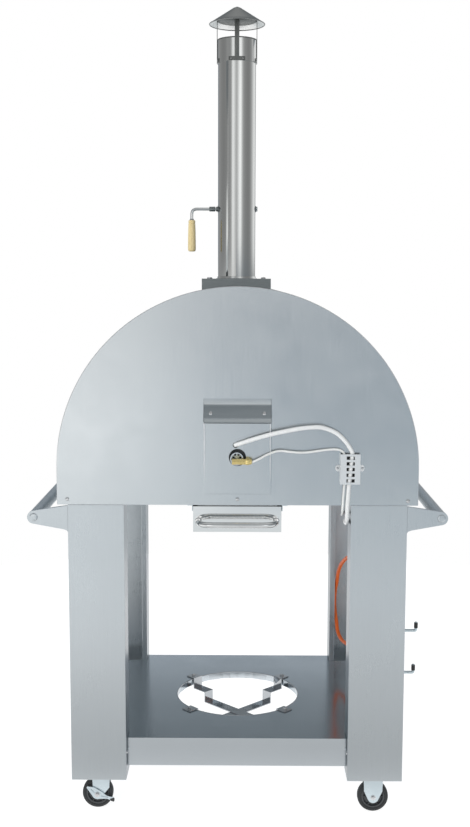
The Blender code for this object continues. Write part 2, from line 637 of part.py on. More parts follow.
def hose_and_regulator():
    route = [(0.2765, 0.125, 0.7347), (0.2765, 0.125, 0.7050), (0.2785, 0.127, 0.6720),
             (0.2860, 0.150, 0.6300), (0.3030, 0.220, 0.5850), (0.3160, 0.310, 0.5620),
             (0.3180, 0.390, 0.5480), (0.3110, 0.450, 0.5310), (0.3024, 0.500, 0.5111),
             (0.2935, 0.545, 0.4837), (0.2880, 0.577, 0.4520), (0.2864, 0.597, 0.4200),
             (0.2830, 0.611, 0.3900), (0.2815, 0.615, 0.3573), (0.2830, 0.611, 0.3260),
             (0.2864, 0.597, 0.2990), (0.2885, 0.577, 0.2770), (0.2960, 0.543, 0.2640), (0.3075, 0.495, 0.2660), (0.3180, 0.440, 0.2760),
             (0.3300, 0.340, 0.2830), (0.3365, 0.230, 0.2840), (0.3370, 0.140, 0.2960),
             (0.3340, 0.076, 0.3280), (0.3312, 0.0410, 0.3800), (0.3312, 0.0385, 0.4093)]
    points = [Vector((x, behind(depth), z)) for x, depth, z in route]
    tube("gas_hose", smooth_route(points, 78), 0.0052, HOSE)
    x, y, z = LEG_MID_X, behind(0.0385), 0.4103
    body = rod("hose_regulator", (x, y - 0.014, z + 0.048), (x, y + 0.014, z + 0.048), 0.030,
               DULL_STEEL, sides=24)
    join(body, rod("regulator_barb", (x, y, z), (x, y, z + 0.030), 0.0070, BRASS, sides=16),
         rod("regulator_nut", (x, y, z + 0.070), (x, y, z + 0.112), 0.0165, BLACK, sides=16))


# Ash drawer -----------------------------------------------------------------------------------------
def drawer():
    slide = pivot("drawer_slide_axis", (0, REAR_Y, 0.73))
    wall, half, low, high, deep = 0.002, 0.0965, 0.7015, 0.7530, 0.300
    tray = box("drawer_tray", (-half, behind(0.001), low), (half, behind(deep), high), STEEL)
    well = box("tray_cutter", (wall - half, behind(0.003), low + wall),
               (half - wall, behind(deep - wall), high + 0.01), STEEL)
    front = box("drawer_front", (-0.1035, behind(-0.001), 0.6993),
                (0.1030, behind(0.0015), 0.7600), STEEL)
    cut(tray, well)
    join(tray, front)
    rails = []
    for side in (-1, 1):
        edge = sorted((side * (half - 0.001), side * 0.1030))
        join(tray, box("tray_flange", (edge[0], behind(0.0010), high - 0.0016),
                       (edge[1], behind(deep), high), STEEL))
        hanger = [(side * 0.1170, 0.7617), (side * 0.1052, 0.7617), (side * 0.1052, 0.7492),
                  (side * 0.0990, 0.7492)]
        rails.append(folded("drawer_frame", hanger, -behind(0.330), -behind(0.004), 0.0015,
                            ZINC))
    stop = box("drawer_stop", (-0.1058, behind(0.328), 0.7488), (0.1058, behind(0.330), 0.7610),
               ZINC)
    join(rails[0], rails[1], stop)
    reach, inset = behind(-0.050), 0.0905
    corners = [(-inset, behind(-0.0013), 0.7260), (-inset, reach, 0.7260), (inset, reach, 0.7260),
               (inset, behind(-0.0013), 0.7260)]
    handle = tube("drawer_handle", bent(corners, 0.036, 8), 0.0070, BRIGHT, resolution=3)
    hang(slide, tray, handle)


# Cart ---------------------------------------------------------------------------------------------
def leg_mesh():
    """A channel with lips along its open side, closed by a plate at each end."""
    half, tall = (LEG_OUT - LEG_IN) / 2, BODY_Z - GAP - LEG_BOTTOM_Z
    leg = box("leg_form", (-half, 0, 0), (half, LEG_DEEP, tall), STEEL, origin=(0, 0, 0))
    room = box("room_cutter", (LEG_SHEET - half, LEG_SHEET, 0.003),
               (half - LEG_SHEET, LEG_DEEP - LEG_SHEET, tall - 0.003), STEEL)
    slot = box("slot_cutter", (LEG_LIP - half, 0.04, 0.003),
               (half - LEG_LIP, LEG_DEEP + 0.01, tall - 0.003), STEEL)
    cut(leg, room, slot)
    leg = as_mesh(leg)
    mesh = leg.data
    bpy.data.objects.remove(leg, do_unlink=True)
    for tool in (room, slot):
        bpy.data.objects.remove(tool, do_unlink=True)
    return mesh


def legs():
    mesh = leg_mesh()
    for side, side_name in ((-1, "left"), (1, "right")):
        for end, end_name in ((-1, "rear"), (1, "front")):
            face = REAR_Y if end < 0 else FRONT_Y
            leg = add_object(f"leg_{end_name}_{side_name}", mesh, STEEL,
                             (side * LEG_MID_X, face, LEG_BOTTOM_Z))
            leg.rotation_euler.z = math.pi if end > 0 else 0.0


def shelf():
    """An upside-down pan with a round hole, notched to pass between the legs."""
    near, far = behind(SHELF_SETBACK), FRONT_Y - SHELF_SETBACK
    notch_x, notch = LEG_IN - GAP, LEG_DEEP + GAP
    wide, wall = LEG_OUT - 0.003, 0.002
    low = SHELF_TOP_Z - SHELF_TALL

    def cross(name, inset, z0, z1):
        x0, x1 = notch_x - inset, wide - inset
        middle = box(name, (-x0, near + inset, z0), (x0, far - inset, z1), STEEL)
        wings = box("wing_form", (-x1, REAR_Y + notch + inset, z0),
                    (x1, FRONT_Y - notch - inset, z1), STEEL)
        return join(middle, wings)

    def disc(name, radius, z0, z1):
        return rod(name, (0, MID_Y, z0), (0, MID_Y, z1), radius, STEEL, sides=48)

    plate = cross("bottom_shelf", 0.0, low, SHELF_TOP_Z)
    under = cross("under_cutter", wall, low - 0.01, SHELF_TOP_Z - wall)
    cut(under, disc("rim_form", TANK_R + wall, low - 0.02, SHELF_TOP_Z + 0.01))
    cut(plate, under, disc("hole_cutter", TANK_R, low - 0.02, SHELF_TOP_Z + 0.01),
        disc("trim_cutter", TANK_R + 0.010, low - 0.02, SHELF_TOP_Z - 0.018))


def cradle():
    """Two stepped straps that cross under the hole and carry the gas bottle's foot."""
    thick, half = 0.0025, 0.015
    top, step, base = SHELF_TOP_Z + GAP + thick / 2, 0.1565, 0.1270
    straps = []
    for turn, lift in ((45.0, 0.0), (135.0, thick - 0.0006)):
        side = [(0.186, top), (0.1578, top), (0.1578, step), (0.1135, step),
                (0.1135, base + lift)]
        profile = side + [(-u, v) for u, v in side[::-1]]
        strap = folded("cradle_strap", profile, -half, half, thick, BRIGHT)
        spin = Matrix.Translation((0, MID_Y, 0)) @ Matrix.Rotation(math.radians(turn), 4, "Z")
        strap.matrix_world = spin @ strap.matrix_world
        straps.append(strap)
    straps[0].name = "bottle_cradle"
    join(straps[0], straps[1])


def push_bars():
    """A tube down each side of the cart between two tapered arms."""
    arm = 0.010
    for side, name in ((-1, "push_bar_left"), (1, "push_bar_right")):
        tip = arc((BAR_X, BAR_Z), BAR_R + 0.0010, 84.0, -80.0, 10)
        outline = [(LEG_OUT + GAP, 0.7602)] + tip + [(0.4075, 0.7040), (0.3995, 0.7010),
                                                     (LEG_OUT + GAP, 0.6975)]
        outline = [(side * x, z) for x, z in outline]
        bar = rod(name, (side * BAR_X, behind(arm - 0.002), BAR_Z),
                  (side * BAR_X, FRONT_Y - arm + 0.002, BAR_Z), BAR_R, BRIGHT, sides=24)
        for low in (REAR_Y, FRONT_Y - arm):
            join(bar, outline_solid("bar_arm", [outline], low, low + arm, STEEL))


def tool_hooks():
    for name, z, reach, rise in (("tool_hook_upper", 0.4515, 0.4285, 0.021),
                                 ("tool_hook_lower", 0.3478, 0.4240, 0.020)):
        y = behind(LEG_DEEP / 2)
        corners = [(LEG_OUT + GAP, y, z), (reach, y, z), (reach, y, z + rise)]
        tube(name, bent(corners, 0.006, 3), 0.0050, BLACK)


# Castors --------------------------------------------------------------------------------------------
def castor(where, side, end, swivels):
    """A fork with its axle, and a wheel. The swivelling ones also have a brake lever."""
    trail = -0.009 if swivels else 0.0
    setback = 0.050 if swivels else LEG_DEEP / 2
    x = side * LEG_MID_X
    y = behind(setback) if end < 0 else FRONT_Y - setback
    hub = x + trail
    top = LEG_BOTTOM_Z - (0.0010 if swivels else GAP)
    cheek, wide = 0.0020, 0.0145
    foot = arc((hub, WHEEL_R), 0.0135, 200.0, 340.0, 6)
    half = 0.0215 if swivels else 0.0235
    outline = [(x + half, top), (x - half, top), (x - half + 0.0013, 0.0540)] + foot + [
        (x + half - 0.0013, 0.0540)]
    fork = outline_solid(f"castor_fork_{where}", [outline], y - wide - cheek, y + wide + cheek,
                         ZINC)
    room = box("fork_cutter", (x - 0.04, y - wide, -0.01), (x + 0.04, y + wide, 0.0815), ZINC)
    axle = rod("castor_axle", (hub, y - wide - 0.001, WHEEL_R), (hub, y + wide + 0.001, WHEEL_R),
               0.0040, ZINC, sides=16)
    cut(fork, room)
    join(fork, axle)

    bore, half = 0.0043, WHEEL_WIDE / 2
    profile = [(bore, half - 0.001), (0.0270, half - 0.001), (0.0300, half), (0.0345, half),
               (WHEEL_R, half - 0.004), (WHEEL_R, 0.004 - half), (0.0345, -half),
               (0.0300, -half), (0.0270, 0.001 - half), (bore, 0.001 - half)]
    wheel = turned(f"castor_wheel_{where}", profile, (hub, y, WHEEL_R), (0, -1, 0), RUBBER,
                   steps=32, closed=True)
    axis = pivot(f"castor_axis_{where}", (x, y, top))
    hang(axis, fork, wheel)
    if swivels:
        face = y - wide - cheek - 0.0004
        blade = [(hub - 0.0240, 0.0585), (hub - 0.0260, 0.0545), (hub - 0.0110, 0.0330),
                 (hub + 0.0010, 0.0265), (hub + 0.0240, 0.0270), (hub + 0.0370, 0.0215),
                 (hub + 0.0415, 0.0245), (hub + 0.0390, 0.0305), (hub + 0.0230, 0.0350),
                 (hub + 0.0090, 0.0465), (hub - 0.0080, 0.0560)]
        lever = outline_solid(f"brake_lever_{where}", [blade], face - 0.003, face, ZINC)
        hang(axis, lever)


def castors():
    for side, side_name in ((-1, "left"), (1, "right")):
        for end, end_name in ((-1, "rear"), (1, "front")):
            castor(f"{end_name}_{side_name}", side, end, swivels=side < 0)


oven_body()
landing()
door()
chimney()
damper()
burner()
gas_lines()
gas_valve()
hose_and_regulator()
drawer()
legs()
shelf()
cradle()
push_bars()
tool_hooks()
castors()
bpy.context.view_layer.update()
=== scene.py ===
"""Looks of the free-standing pizza oven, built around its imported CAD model.

Metres, +Z up. The oven's mouth and door face +Y; its back, with the burner port and the
drawer, faces -Y. Left and right are as seen from behind the oven.
"""

import math

import bmesh
import bpy
from mathutils import Matrix, Vector


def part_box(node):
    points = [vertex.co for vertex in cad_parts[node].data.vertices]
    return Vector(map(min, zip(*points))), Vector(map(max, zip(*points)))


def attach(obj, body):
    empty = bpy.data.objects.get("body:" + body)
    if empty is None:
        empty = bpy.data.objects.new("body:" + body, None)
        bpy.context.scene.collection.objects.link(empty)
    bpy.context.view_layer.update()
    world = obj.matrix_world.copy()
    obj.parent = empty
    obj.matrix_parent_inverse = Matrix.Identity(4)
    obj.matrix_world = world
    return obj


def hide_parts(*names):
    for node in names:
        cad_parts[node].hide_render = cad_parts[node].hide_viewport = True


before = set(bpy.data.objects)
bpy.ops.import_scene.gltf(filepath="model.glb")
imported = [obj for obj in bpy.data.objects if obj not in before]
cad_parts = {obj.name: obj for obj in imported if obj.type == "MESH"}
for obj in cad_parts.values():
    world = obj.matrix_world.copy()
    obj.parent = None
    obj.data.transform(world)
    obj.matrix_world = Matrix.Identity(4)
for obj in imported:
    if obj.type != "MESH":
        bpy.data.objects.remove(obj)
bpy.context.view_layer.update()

UP, RIGHT, AHEAD = Vector((0, 0, 1)), Vector((1, 0, 0)), Vector((0, 1, 0))


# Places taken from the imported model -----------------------
def low(node):
    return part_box(node)[0]


def high(node):
    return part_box(node)[1]


def middle(node):
    return (low(node) + high(node)) / 2


REAR = low("rear_panel").y                 # outer face of the rear panel
FRONT = high("front_panel").y
BODY_R = high("rear_panel").x              # half the width of the body, and its roof's radius
BODY_Z = low("rear_panel").z
SPRING_Z = high("rear_panel").z - BODY_R   # where the straight sides turn into the arc
FLUE = middle("chimney_pipe")
PIPE_R = (high("chimney_pipe").x - low("chimney_pipe").x) / 2


def behind(depth):
    """Y of a place this far in front of the rear face."""
    return REAR + depth


# Camera ---------------------------------------------------
def camera():
    lens = bpy.data.cameras.new("camera")
    sensor, focal_px, photo_tall_px = 36, 1120, 827
    lens.sensor_width = sensor
    lens.lens = focal_px / photo_tall_px * sensor
    lens.clip_start, lens.clip_end = 0.05, 60
    yaw, pitch, roll = -0.0074, 0.1174, 0.0022
    right = Vector((math.cos(yaw), -math.sin(yaw), 0))
    level = Vector((math.sin(yaw), math.cos(yaw), 0))
    ahead = level * math.cos(pitch) - UP * math.sin(pitch)
    up = right.cross(ahead)
    right, up = (right * math.cos(roll) + up * math.sin(roll),
                 up * math.cos(roll) - right * math.sin(roll))
    turn = Matrix((right, up, -ahead)).transposed().to_4x4()
    item = bpy.data.objects.new("camera", lens)
    item.matrix_world = Matrix.Translation((0.0131, -2.9201, 1.2818)) @ turn
    bpy.context.scene.collection.objects.link(item)
    bpy.context.scene.camera = item


camera()


# Mesh tools -----------------------------------------------
SHARP, TUBE = 32.0, 50.0                   # edges sharper than this many degrees stay hard


def moved(shape, matrix):
    bmesh.ops.transform(shape, matrix=matrix, verts=shape.verts)
    return shape


def mesh_of(shape, name, angle=SHARP, flat=False):
    """A bmesh as a mesh, smooth except at its sharp edges."""
    bmesh.ops.recalc_face_normals(shape, faces=shape.faces)
    mesh = bpy.data.meshes.new(name)
    shape.to_mesh(mesh)
    shape.free()
    if not flat:
        mesh.shade_smooth()
        mesh.set_sharp_from_angle(angle=math.radians(angle))
    return mesh


def piece(name, shape, look, body="cart", stands_for=(), angle=SHARP):
    """A bmesh, or a list of them, as a piece that rides on a CAD body."""
    mesh = (joined if isinstance(shape, list) else mesh_of)(shape, name, angle)
    item = bpy.data.objects.new(name, mesh)
    bpy.context.scene.collection.objects.link(item)
    mesh.materials.clear()
    mesh.materials.append(look)
    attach(item, body)
    if stands_for:
        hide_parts(*stands_for)
    return item


def turn_to(axis):
    return UP.rotation_difference(Vector(axis)).to_matrix().to_4x4()


def lathe(profile, at=(0, 0, 0), axis=(0, 0, 1), steps=64, closed=False):
    """A profile of (radius, height) points spun about an axis through a point."""
    shape = bmesh.new()
    rings = []
    for radius, height in profile:
        turns = 1 if radius < 1e-7 else steps
        rings.append([shape.verts.new((radius * math.cos(2 * math.pi * i / steps),
                                       radius * math.sin(2 * math.pi * i / steps), height))
                      for i in range(turns)])
    pairs = list(zip(rings, rings[1:])) + ([(rings[-1], rings[0])] if closed else [])
    for first, second in pairs:
        for i in range(steps):
            j = (i + 1) % steps
            corners = [first[i % len(first)], first[j % len(first)],
                       second[j % len(second)], second[i % len(second)]]
            corners = list(dict.fromkeys(corners))
            if len(corners) > 2:
                shape.faces.new(corners)
    moved(shape, Matrix.Translation(at) @ turn_to(axis))
    return shape


def round_off(profile, radius, steps=4):
    """The same open profile with its inner corners rounded."""
    points = [Vector((a, b)) for a, b in profile]
    made = [points[0]]
    for before, corner, after in zip(points, points[1:], points[2:]):
        into, out = corner - before, after - corner
        reach = min(radius, into.length * 0.45, out.length * 0.45)
        start = corner - into.normalized() * reach
        end = corner + out.normalized() * reach
        for i in range(steps + 1):
            t = i / steps
            made.append(start.lerp(corner, t).lerp(corner.lerp(end, t), t))
    return [tuple(point) for point in made + [points[-1]]]


def sweep(points, radius, sides=16):
    """A round tube along a line of points; the radius may be one number or one a point."""
    points = [Vector(point) for point in points]
    radii = radius if isinstance(radius, (list, tuple)) else [radius] * len(points)
    ways = []
    for i, point in enumerate(points):
        before, after = points[max(i - 1, 0)], points[min(i + 1, len(points) - 1)]
        ways.append((after - before).normalized())
    side = ways[0].orthogonal().normalized()
    shape = bmesh.new()
    rings = []
    for i, point in enumerate(points):
        if i:
            side = ways[i - 1].rotation_difference(ways[i]) @ side
        side = (side - ways[i] * side.dot(ways[i])).normalized()
        other = ways[i].cross(side)
        rings.append([shape.verts.new(point + (side * math.cos(a) + other * math.sin(a))
                                      * radii[i])
                      for a in (2 * math.pi * k / sides for k in range(sides))])
    for first, second in zip(rings, rings[1:]):
        for i in range(sides):
            j = (i + 1) % sides
            shape.faces.new((first[i], first[j], second[j], second[i]))
    shape.faces.new(rings[0][::-1])
    shape.faces.new(rings[-1])
    return shape


def smooth_route(points, steps):
    """A smooth curve through the route's points, as evenly spaced points."""
    ends = [points[0] * 2 - points[1]] + points + [points[-1] * 2 - points[-2]]
    fine = []
    for a, b, c, d in zip(ends, ends[1:], ends[2:], ends[3:]):
        for i in range(24):
            t = i / 24
            fine.append(0.5 * (2 * b + (c - a) * t + (2 * a - 5 * b + 4 * c - d) * t * t
                               + (3 * b - a - 3 * c + d) * t ** 3))
    fine.append(points[-1])
    travelled = [0.0]
    for first, second in zip(fine, fine[1:]):
        travelled.append(travelled[-1] + (second - first).length)
    spaced, index = [], 0
    for i in range(steps + 1):
        target = travelled[-1] * i / steps
        while index < len(fine) - 2 and travelled[index + 1] < target:
            index += 1
        span = max(travelled[index + 1] - travelled[index], 1e-9)
        spaced.append(fine[index].lerp(fine[index + 1], (target - travelled[index]) / span))
    return spaced


def bent(corners, radius, steps=8):
    """A line through corner points, with its inner corners rounded."""
    corners = [Vector(corner) for corner in corners]
    line = [corners[0]]
    for before, corner, after in zip(corners, corners[1:], corners[2:]):
        into, out = (corner - before).normalized(), (after - corner).normalized()
        start, end = corner - into * radius, corner + out * radius
        for i in range(steps + 1):
            t = i / steps
            line.append(start.lerp(corner, t).lerp(corner.lerp(end, t), t))
    return line + [corners[-1]]


def block(low_at, high_at, bevel=0.0, segments=3):
    """A box between two corners with rounded edges."""
    low_at, high_at = Vector(low_at), Vector(high_at)
    shape = bmesh.new()
    bmesh.ops.create_cube(shape, size=1.0)
    bmesh.ops.scale(shape, vec=high_at - low_at, verts=shape.verts)
    bmesh.ops.translate(shape, vec=(low_at + high_at) / 2, verts=shape.verts)
    if bevel:
        bmesh.ops.bevel(shape, geom=shape.edges[:], offset=bevel, segments=segments,
                        profile=0.5, affect="EDGES")
    return shape


def slab(outline, thick, bevel=0.0):
    """A flat outline on XY drawn up by its thickness, its long edges rounded."""
    shape = bmesh.new()
    face = shape.faces.new([shape.verts.new((u, v, 0.0)) for u, v in outline])
    made = bmesh.ops.extrude_face_region(shape, geom=[face])
    top = [part for part in made["geom"] if isinstance(part, bmesh.types.BMVert)]
    bmesh.ops.translate(shape, vec=(0, 0, thick), verts=top)
    if bevel:
        rims = [edge for edge in shape.edges
                if abs(edge.verts[0].co.z - edge.verts[1].co.z) < 1e-9]
        bmesh.ops.bevel(shape, geom=rims, offset=bevel, segments=2, profile=0.5, affect="EDGES")
    return shape


def drum(radius, bottom, top):
    """The profile of a solid cylinder."""
    return [(0, bottom), (radius, bottom), (radius, top), (0, top)]


def hex_nut(radius, thick, bevel, at, axis=UP, start=0.0):
    nut = slab(circle(radius, 6, start), thick, bevel)
    return moved(nut, Matrix.Translation(at) @ turn_to(axis))


def circle(radius, steps, start=0.0):
    return [(radius * math.cos(start + 2 * math.pi * i / steps),
             radius * math.sin(start + 2 * math.pi * i / steps)) for i in range(steps)]


def joined(shapes, name, angle=SHARP):
    """Several bmeshes as one mesh."""
    whole = bmesh.new()
    for shape in shapes:
        part = bpy.data.meshes.new("part")
        bmesh.ops.recalc_face_normals(shape, faces=shape.faces)
        shape.to_mesh(part)
        shape.free()
        whole.from_mesh(part)
        bpy.data.meshes.remove(part)
    mesh = bpy.data.meshes.new(name)
    whole.to_mesh(mesh)
    whole.free()
    mesh.shade_smooth()
    mesh.set_sharp_from_angle(angle=math.radians(angle))
    return mesh


def carved(base, tools):
    """A bmesh with others cut out of it, as a new bmesh."""
    def holder(shape):
        mesh = bpy.data.meshes.new("work")
        bmesh.ops.recalc_face_normals(shape, faces=shape.faces)
        shape.to_mesh(mesh)
        shape.free()
        item = bpy.data.objects.new("work", mesh)
        bpy.context.scene.collection.objects.link(item)
        return item

    item, cutters = holder(base), [holder(tool) for tool in tools]
    for cutter in cutters:
        change = item.modifiers.new("Cut", "BOOLEAN")
        change.operation = "DIFFERENCE"
        change.solver = "EXACT"
        change.object = cutter
    bpy.context.view_layer.update()
    seen = item.evaluated_get(bpy.context.evaluated_depsgraph_get())
    mesh = bpy.data.meshes.new_from_object(seen)
    shape = bmesh.new()
    shape.from_mesh(mesh)
    for thing in [item, *cutters]:
        bpy.data.objects.remove(thing, do_unlink=True)
    return shape


# Fasteners, drawn at radius 1 with their seat on z = 0 ----
def screw_shape():
    """A pan head with a cross recess."""
    head = lathe([(0, 0.62), (0.35, 0.60), (0.66, 0.52), (0.88, 0.36), (0.98, 0.16), (1.0, 0.0),
                  (0, 0.0)], steps=28)
    arms = [block((-0.52, -0.10, 0.30), (0.52, 0.10, 0.9)),
            block((-0.10, -0.52, 0.30), (0.10, 0.52, 0.9))]
    return carved(head, arms)


def rivet_shape():
    """A blind rivet with its hollow stem."""
    return lathe([(0, 0.22), (0.30, 0.22), (0.34, 0.46), (0.60, 0.42), (0.86, 0.28), (0.98, 0.10),
                  (1.0, 0.0), (0, 0.0)], steps=24)


def bolt_shape():
    """A hexagon head on a washer."""
    washer = lathe([(0, 0.14), (1.22, 0.14), (1.28, 0.09), (1.28, 0.0), (0, 0.0)], steps=32)
    head = slab(circle(1.0, 6), 0.62, 0.09)
    bmesh.ops.translate(head, vec=(0, 0, 0.14), verts=head.verts)
    boss = lathe([(0, 0.84), (0.30, 0.84), (0.36, 0.78), (0.38, 0.70), (0, 0.70)], steps=20)
    mesh = joined([washer, head, boss], "bolt")
    shape = bmesh.new()
    shape.from_mesh(mesh)
    return shape


def stored(shape, name):
    mesh = bpy.data.meshes.new(name)
    bmesh.ops.recalc_face_normals(shape, faces=shape.faces)
    shape.to_mesh(mesh)
    shape.free()
    return mesh


SCREW = stored(screw_shape(), "screw")
RIVET = stored(rivet_shape(), "rivet")
BOLT = stored(bolt_shape(), "bolt")


def fasteners(name, kind, places, look, body="cart"):
    """Copies of one fastener as one piece; each place is (point, outward way, radius, spin)."""
    shapes = []
    for at, way, radius, spin in places:
        shape = bmesh.new()
        shape.from_mesh(kind)
        place = (Matrix.Translation(at) @ turn_to(way)
                 @ Matrix.Rotation(math.radians(spin), 4, "Z") @ Matrix.Scale(radius, 4))
        moved(shape, place)
        shapes.append(shape)
    return piece(name, shapes, look, body, angle=34.0)


# Materials ------------------------------------------------
def add_node(tree, kind, links=(), **values):
    """A node with its settings, its inputs set or linked by socket."""
    node = tree.nodes.new(kind)
    for key, value in values.items():
        setattr(node, key, value)
    for socket, source in dict(links).items():
        if isinstance(source, bpy.types.NodeSocket):
            tree.links.new(source, node.inputs[socket])
        else:
            node.inputs[socket].default_value = source
    return node


def add_ramp(tree, source, stops):
    """A colour ramp; each stop is (place, colour or grey)."""
    node = add_node(tree, "ShaderNodeValToRGB", {"Fac": source})
    line = node.color_ramp.elements
    while len(line) < len(stops):
        line.new(0.5)
    for element, (at, colour) in zip(line, stops):
        element.position = at
        value = colour if isinstance(colour, tuple) else (colour,) * 3
        element.color = (*value, 1.0)
    return node.outputs["Color"]


class Nodes:
    """A material's node tree, with short calls for the nodes that the looks need."""

    def __init__(self, name, colour, roughness, metallic=0.0, **sockets):
        self.made = bpy.data.materials.new(name)
        self.made.use_nodes = True
        self.tree = self.made.node_tree
        self.shader = self.tree.nodes["Principled BSDF"]
        self.shader.inputs["Base Color"].default_value = (*colour, 1.0)
        self.shader.inputs["Roughness"].default_value = roughness
        self.shader.inputs["Metallic"].default_value = metallic
        for socket, value in sockets.items():
            self.shader.inputs[socket.replace("_", " ")].default_value = value
        self.made.diffuse_color = (*colour, 1.0)
        where = self.tree.nodes.new("ShaderNodeTexCoord").outputs
        self.place, self.facing = where["Object"], where["Normal"]

    def add(self, kind, links=(), **values):
        return add_node(self.tree, kind, links, **values)

    def scaled(self, scale, turn=(0, 0, 0)):
        return self.add("ShaderNodeMapping", {"Vector": self.place, "Scale": scale,
                                              "Rotation": turn}).outputs["Vector"]

    def noise(self, scale, detail=3.0, rough=0.5, stretch=(1, 1, 1), distort=0.0):
        where = self.scaled(stretch) if tuple(stretch) != (1, 1, 1) else self.place
        return self.add("ShaderNodeTexNoise", {
            "Vector": where, "Scale": scale, "Detail": detail, "Roughness": rough,
            "Distortion": distort}).outputs["Fac"]

    def ramp(self, source, stops):
        return add_ramp(self.tree, source, stops)

    def spread(self, source, low_in, high_in, low_out, high_out):
        return self.add("ShaderNodeMapRange", {
            "Value": source, "From Min": low_in, "From Max": high_in, "To Min": low_out,
            "To Max": high_out}).outputs["Result"]

    def mix(self, factor, first, second, how="MIX"):
        node = self.add("ShaderNodeMix", data_type="RGBA", blend_type=how)
        for index, value in ((0, factor), (6, first), (7, second)):
            if isinstance(value, bpy.types.NodeSocket):
                self.tree.links.new(value, node.inputs[index])
            elif index:
                node.inputs[index].default_value = (*value, 1.0)
            else:
                node.inputs[index].default_value = value
        return node.outputs[2]

    def math(self, how, first, second=0.5):
        return self.add("ShaderNodeMath", {0: first, 1: second}, operation=how).outputs[0]

    def colour(self, source):
        self.tree.links.new(source, self.shader.inputs["Base Color"])

    def roughness(self, source):
        self.tree.links.new(source, self.shader.inputs["Roughness"])

    def bump(self, height, strength, distance=0.001, under=None):
        links = {"Height": height, "Strength": strength, "Distance": distance}
        if under:
            links["Normal"] = under
        made = self.add("ShaderNodeBump", links).outputs["Normal"]
        self.tree.links.new(made, self.shader.inputs["Normal"])
        return made


def steel(name, light, dark, rough, grain="X", depth=0.10, inner=None, upright=None):
    """Brushed sheet: grain drawn out along one axis, slow colour drift, smudges.

    inner is a darker colour painted on faces that look towards the oven's middle, as painted
    shade, and upright is a lighter colour painted on faces that stand across it, as painted light.
    """
    fine, band, soil = 1500.0, 420.0, 0.12
    look = Nodes(name, light, sum(rough) / 2, 1.0)
    long_way = {"X": (0.010, 1, 1), "Y": (1, 0.010, 1), "Z": (1, 1, 0.008)}[grain]
    hair = look.noise(fine, 2.0, 0.6, long_way)
    line = look.noise(band, 2.0, 0.5, long_way)
    drift = look.noise(2.6, 2.0, 0.5)
    smudge = look.noise(9.0, 5.0, 0.62, (1, 1, 1), 0.4)
    tone = look.mix(look.spread(hair, 0.30, 0.70, 0.0, 1.0), dark, light)
    tone = look.mix(look.spread(line, 0.35, 0.70, 0.0, 0.45), tone, dark)
    tone = look.mix(look.spread(drift, 0.35, 0.65, 0.0, soil), tone,
                    tuple(0.86 * part for part in dark))
    if inner or upright:
        facing = look.add("ShaderNodeSeparateXYZ", {0: look.facing}).outputs
        place = look.add("ShaderNodeSeparateXYZ", {0: look.place}).outputs
    # Painted shade: faces that look towards the oven's middle are darkened to the inner colour.
    if inner:
        towards = look.math("MULTIPLY", facing[0], place[0])
        tone = look.mix(look.spread(towards, -0.10, -0.22, 0.0, 1.0), tone, inner)
    # Painted light: faces that stand across Y are lightened to the upright colour.
    if upright:
        across = look.math("ABSOLUTE", facing[1], 0.0)
        tone = look.mix(look.spread(across, 0.6, 0.8, 0.0, 1.0), tone, upright)
    look.colour(tone)
    worn = look.math("ADD", look.math("MULTIPLY", hair, 0.45),
                     look.math("MULTIPLY", smudge, 0.55))
    look.roughness(look.spread(worn, 0.32, 0.68, *rough))
    coarse = look.bump(line, depth * 0.4, 0.0003)
    look.bump(hair, depth, 0.0002, coarse)
    return look.made


def polished(name, colour, rough, dirt=(0.30, 0.30, 0.31)):
    """Smooth bright metal with fine scratches and fingerprints."""
    look = Nodes(name, colour, sum(rough) / 2, 1.0)
    scratch = look.noise(420.0, 4.0, 0.7, (1, 1, 1), 0.8)
    cloud = look.noise(16.0, 4.0, 0.6)
    look.colour(look.mix(look.spread(cloud, 0.42, 0.75, 0.0, 0.28), colour, dirt))
    look.roughness(look.spread(look.mix(0.4, cloud, scratch), 0.35, 0.65, *rough))
    look.bump(scratch, 0.05, 0.0003)
    return look.made


def wood(name, axis):
    """Pale turned wood with growth lines along the grip."""
    look = Nodes(name, (0.80, 0.66, 0.36), 0.48)
    long_way = {"X": (0.10, 1, 1), "Z": (1, 1, 0.10)}[axis]
    ring = look.add("ShaderNodeTexWave", {
        "Vector": look.scaled(long_way), "Scale": 95.0, "Distortion": 5.0, "Detail": 3.0,
        "Detail Scale": 1.4}, wave_type="BANDS",
        bands_direction="Y" if axis == "X" else "X").outputs["Fac"]
    pore = look.noise(900.0, 3.0, 0.6, long_way)
    tone = look.ramp(ring, [(0.0, (0.74, 0.57, 0.27)), (0.55, (0.86, 0.71, 0.38)),
                            (1.0, (0.91, 0.79, 0.48))])
    look.colour(look.mix(look.spread(pore, 0.30, 0.52, 0.55, 0.0), tone, (0.55, 0.38, 0.17)))
    look.roughness(look.spread(pore, 0.3, 0.7, 0.62, 0.40))
    grain = look.bump(ring, 0.10, 0.0006)
    look.bump(pore, 0.22, 0.0003, grain)
    return look.made


def rubber(name, colour, rough=(0.55, 0.78)):
    look = Nodes(name, colour, 0.65)
    dust = look.noise(38.0, 5.0, 0.65)
    grit = look.noise(1500.0, 3.0, 0.6)
    look.colour(look.mix(look.spread(dust, 0.50, 0.80, 0.0, 0.55), colour,
                         tuple(c * 1.9 + 0.045 for c in colour)))
    look.roughness(look.spread(dust, 0.3, 0.7, *rough))
    look.bump(grit, 0.25, 0.0003)
    return look.made


def plastic(name, colour, rough=(0.30, 0.46)):
    look = Nodes(name, colour, 0.38)
    cell = look.add("ShaderNodeTexVoronoi", {"Vector": look.place, "Scale": 1300.0},
                    feature="SMOOTH_F1").outputs["Distance"]
    cloud = look.noise(25.0, 4.0, 0.6)
    look.colour(look.mix(look.spread(cloud, 0.45, 0.8, 0.0, 0.5), colour,
                         tuple(c * 1.5 + 0.02 for c in colour)))
    look.roughness(look.spread(cloud, 0.3, 0.7, *rough))
    look.bump(cell, 0.12, 0.0003)
    return look.made


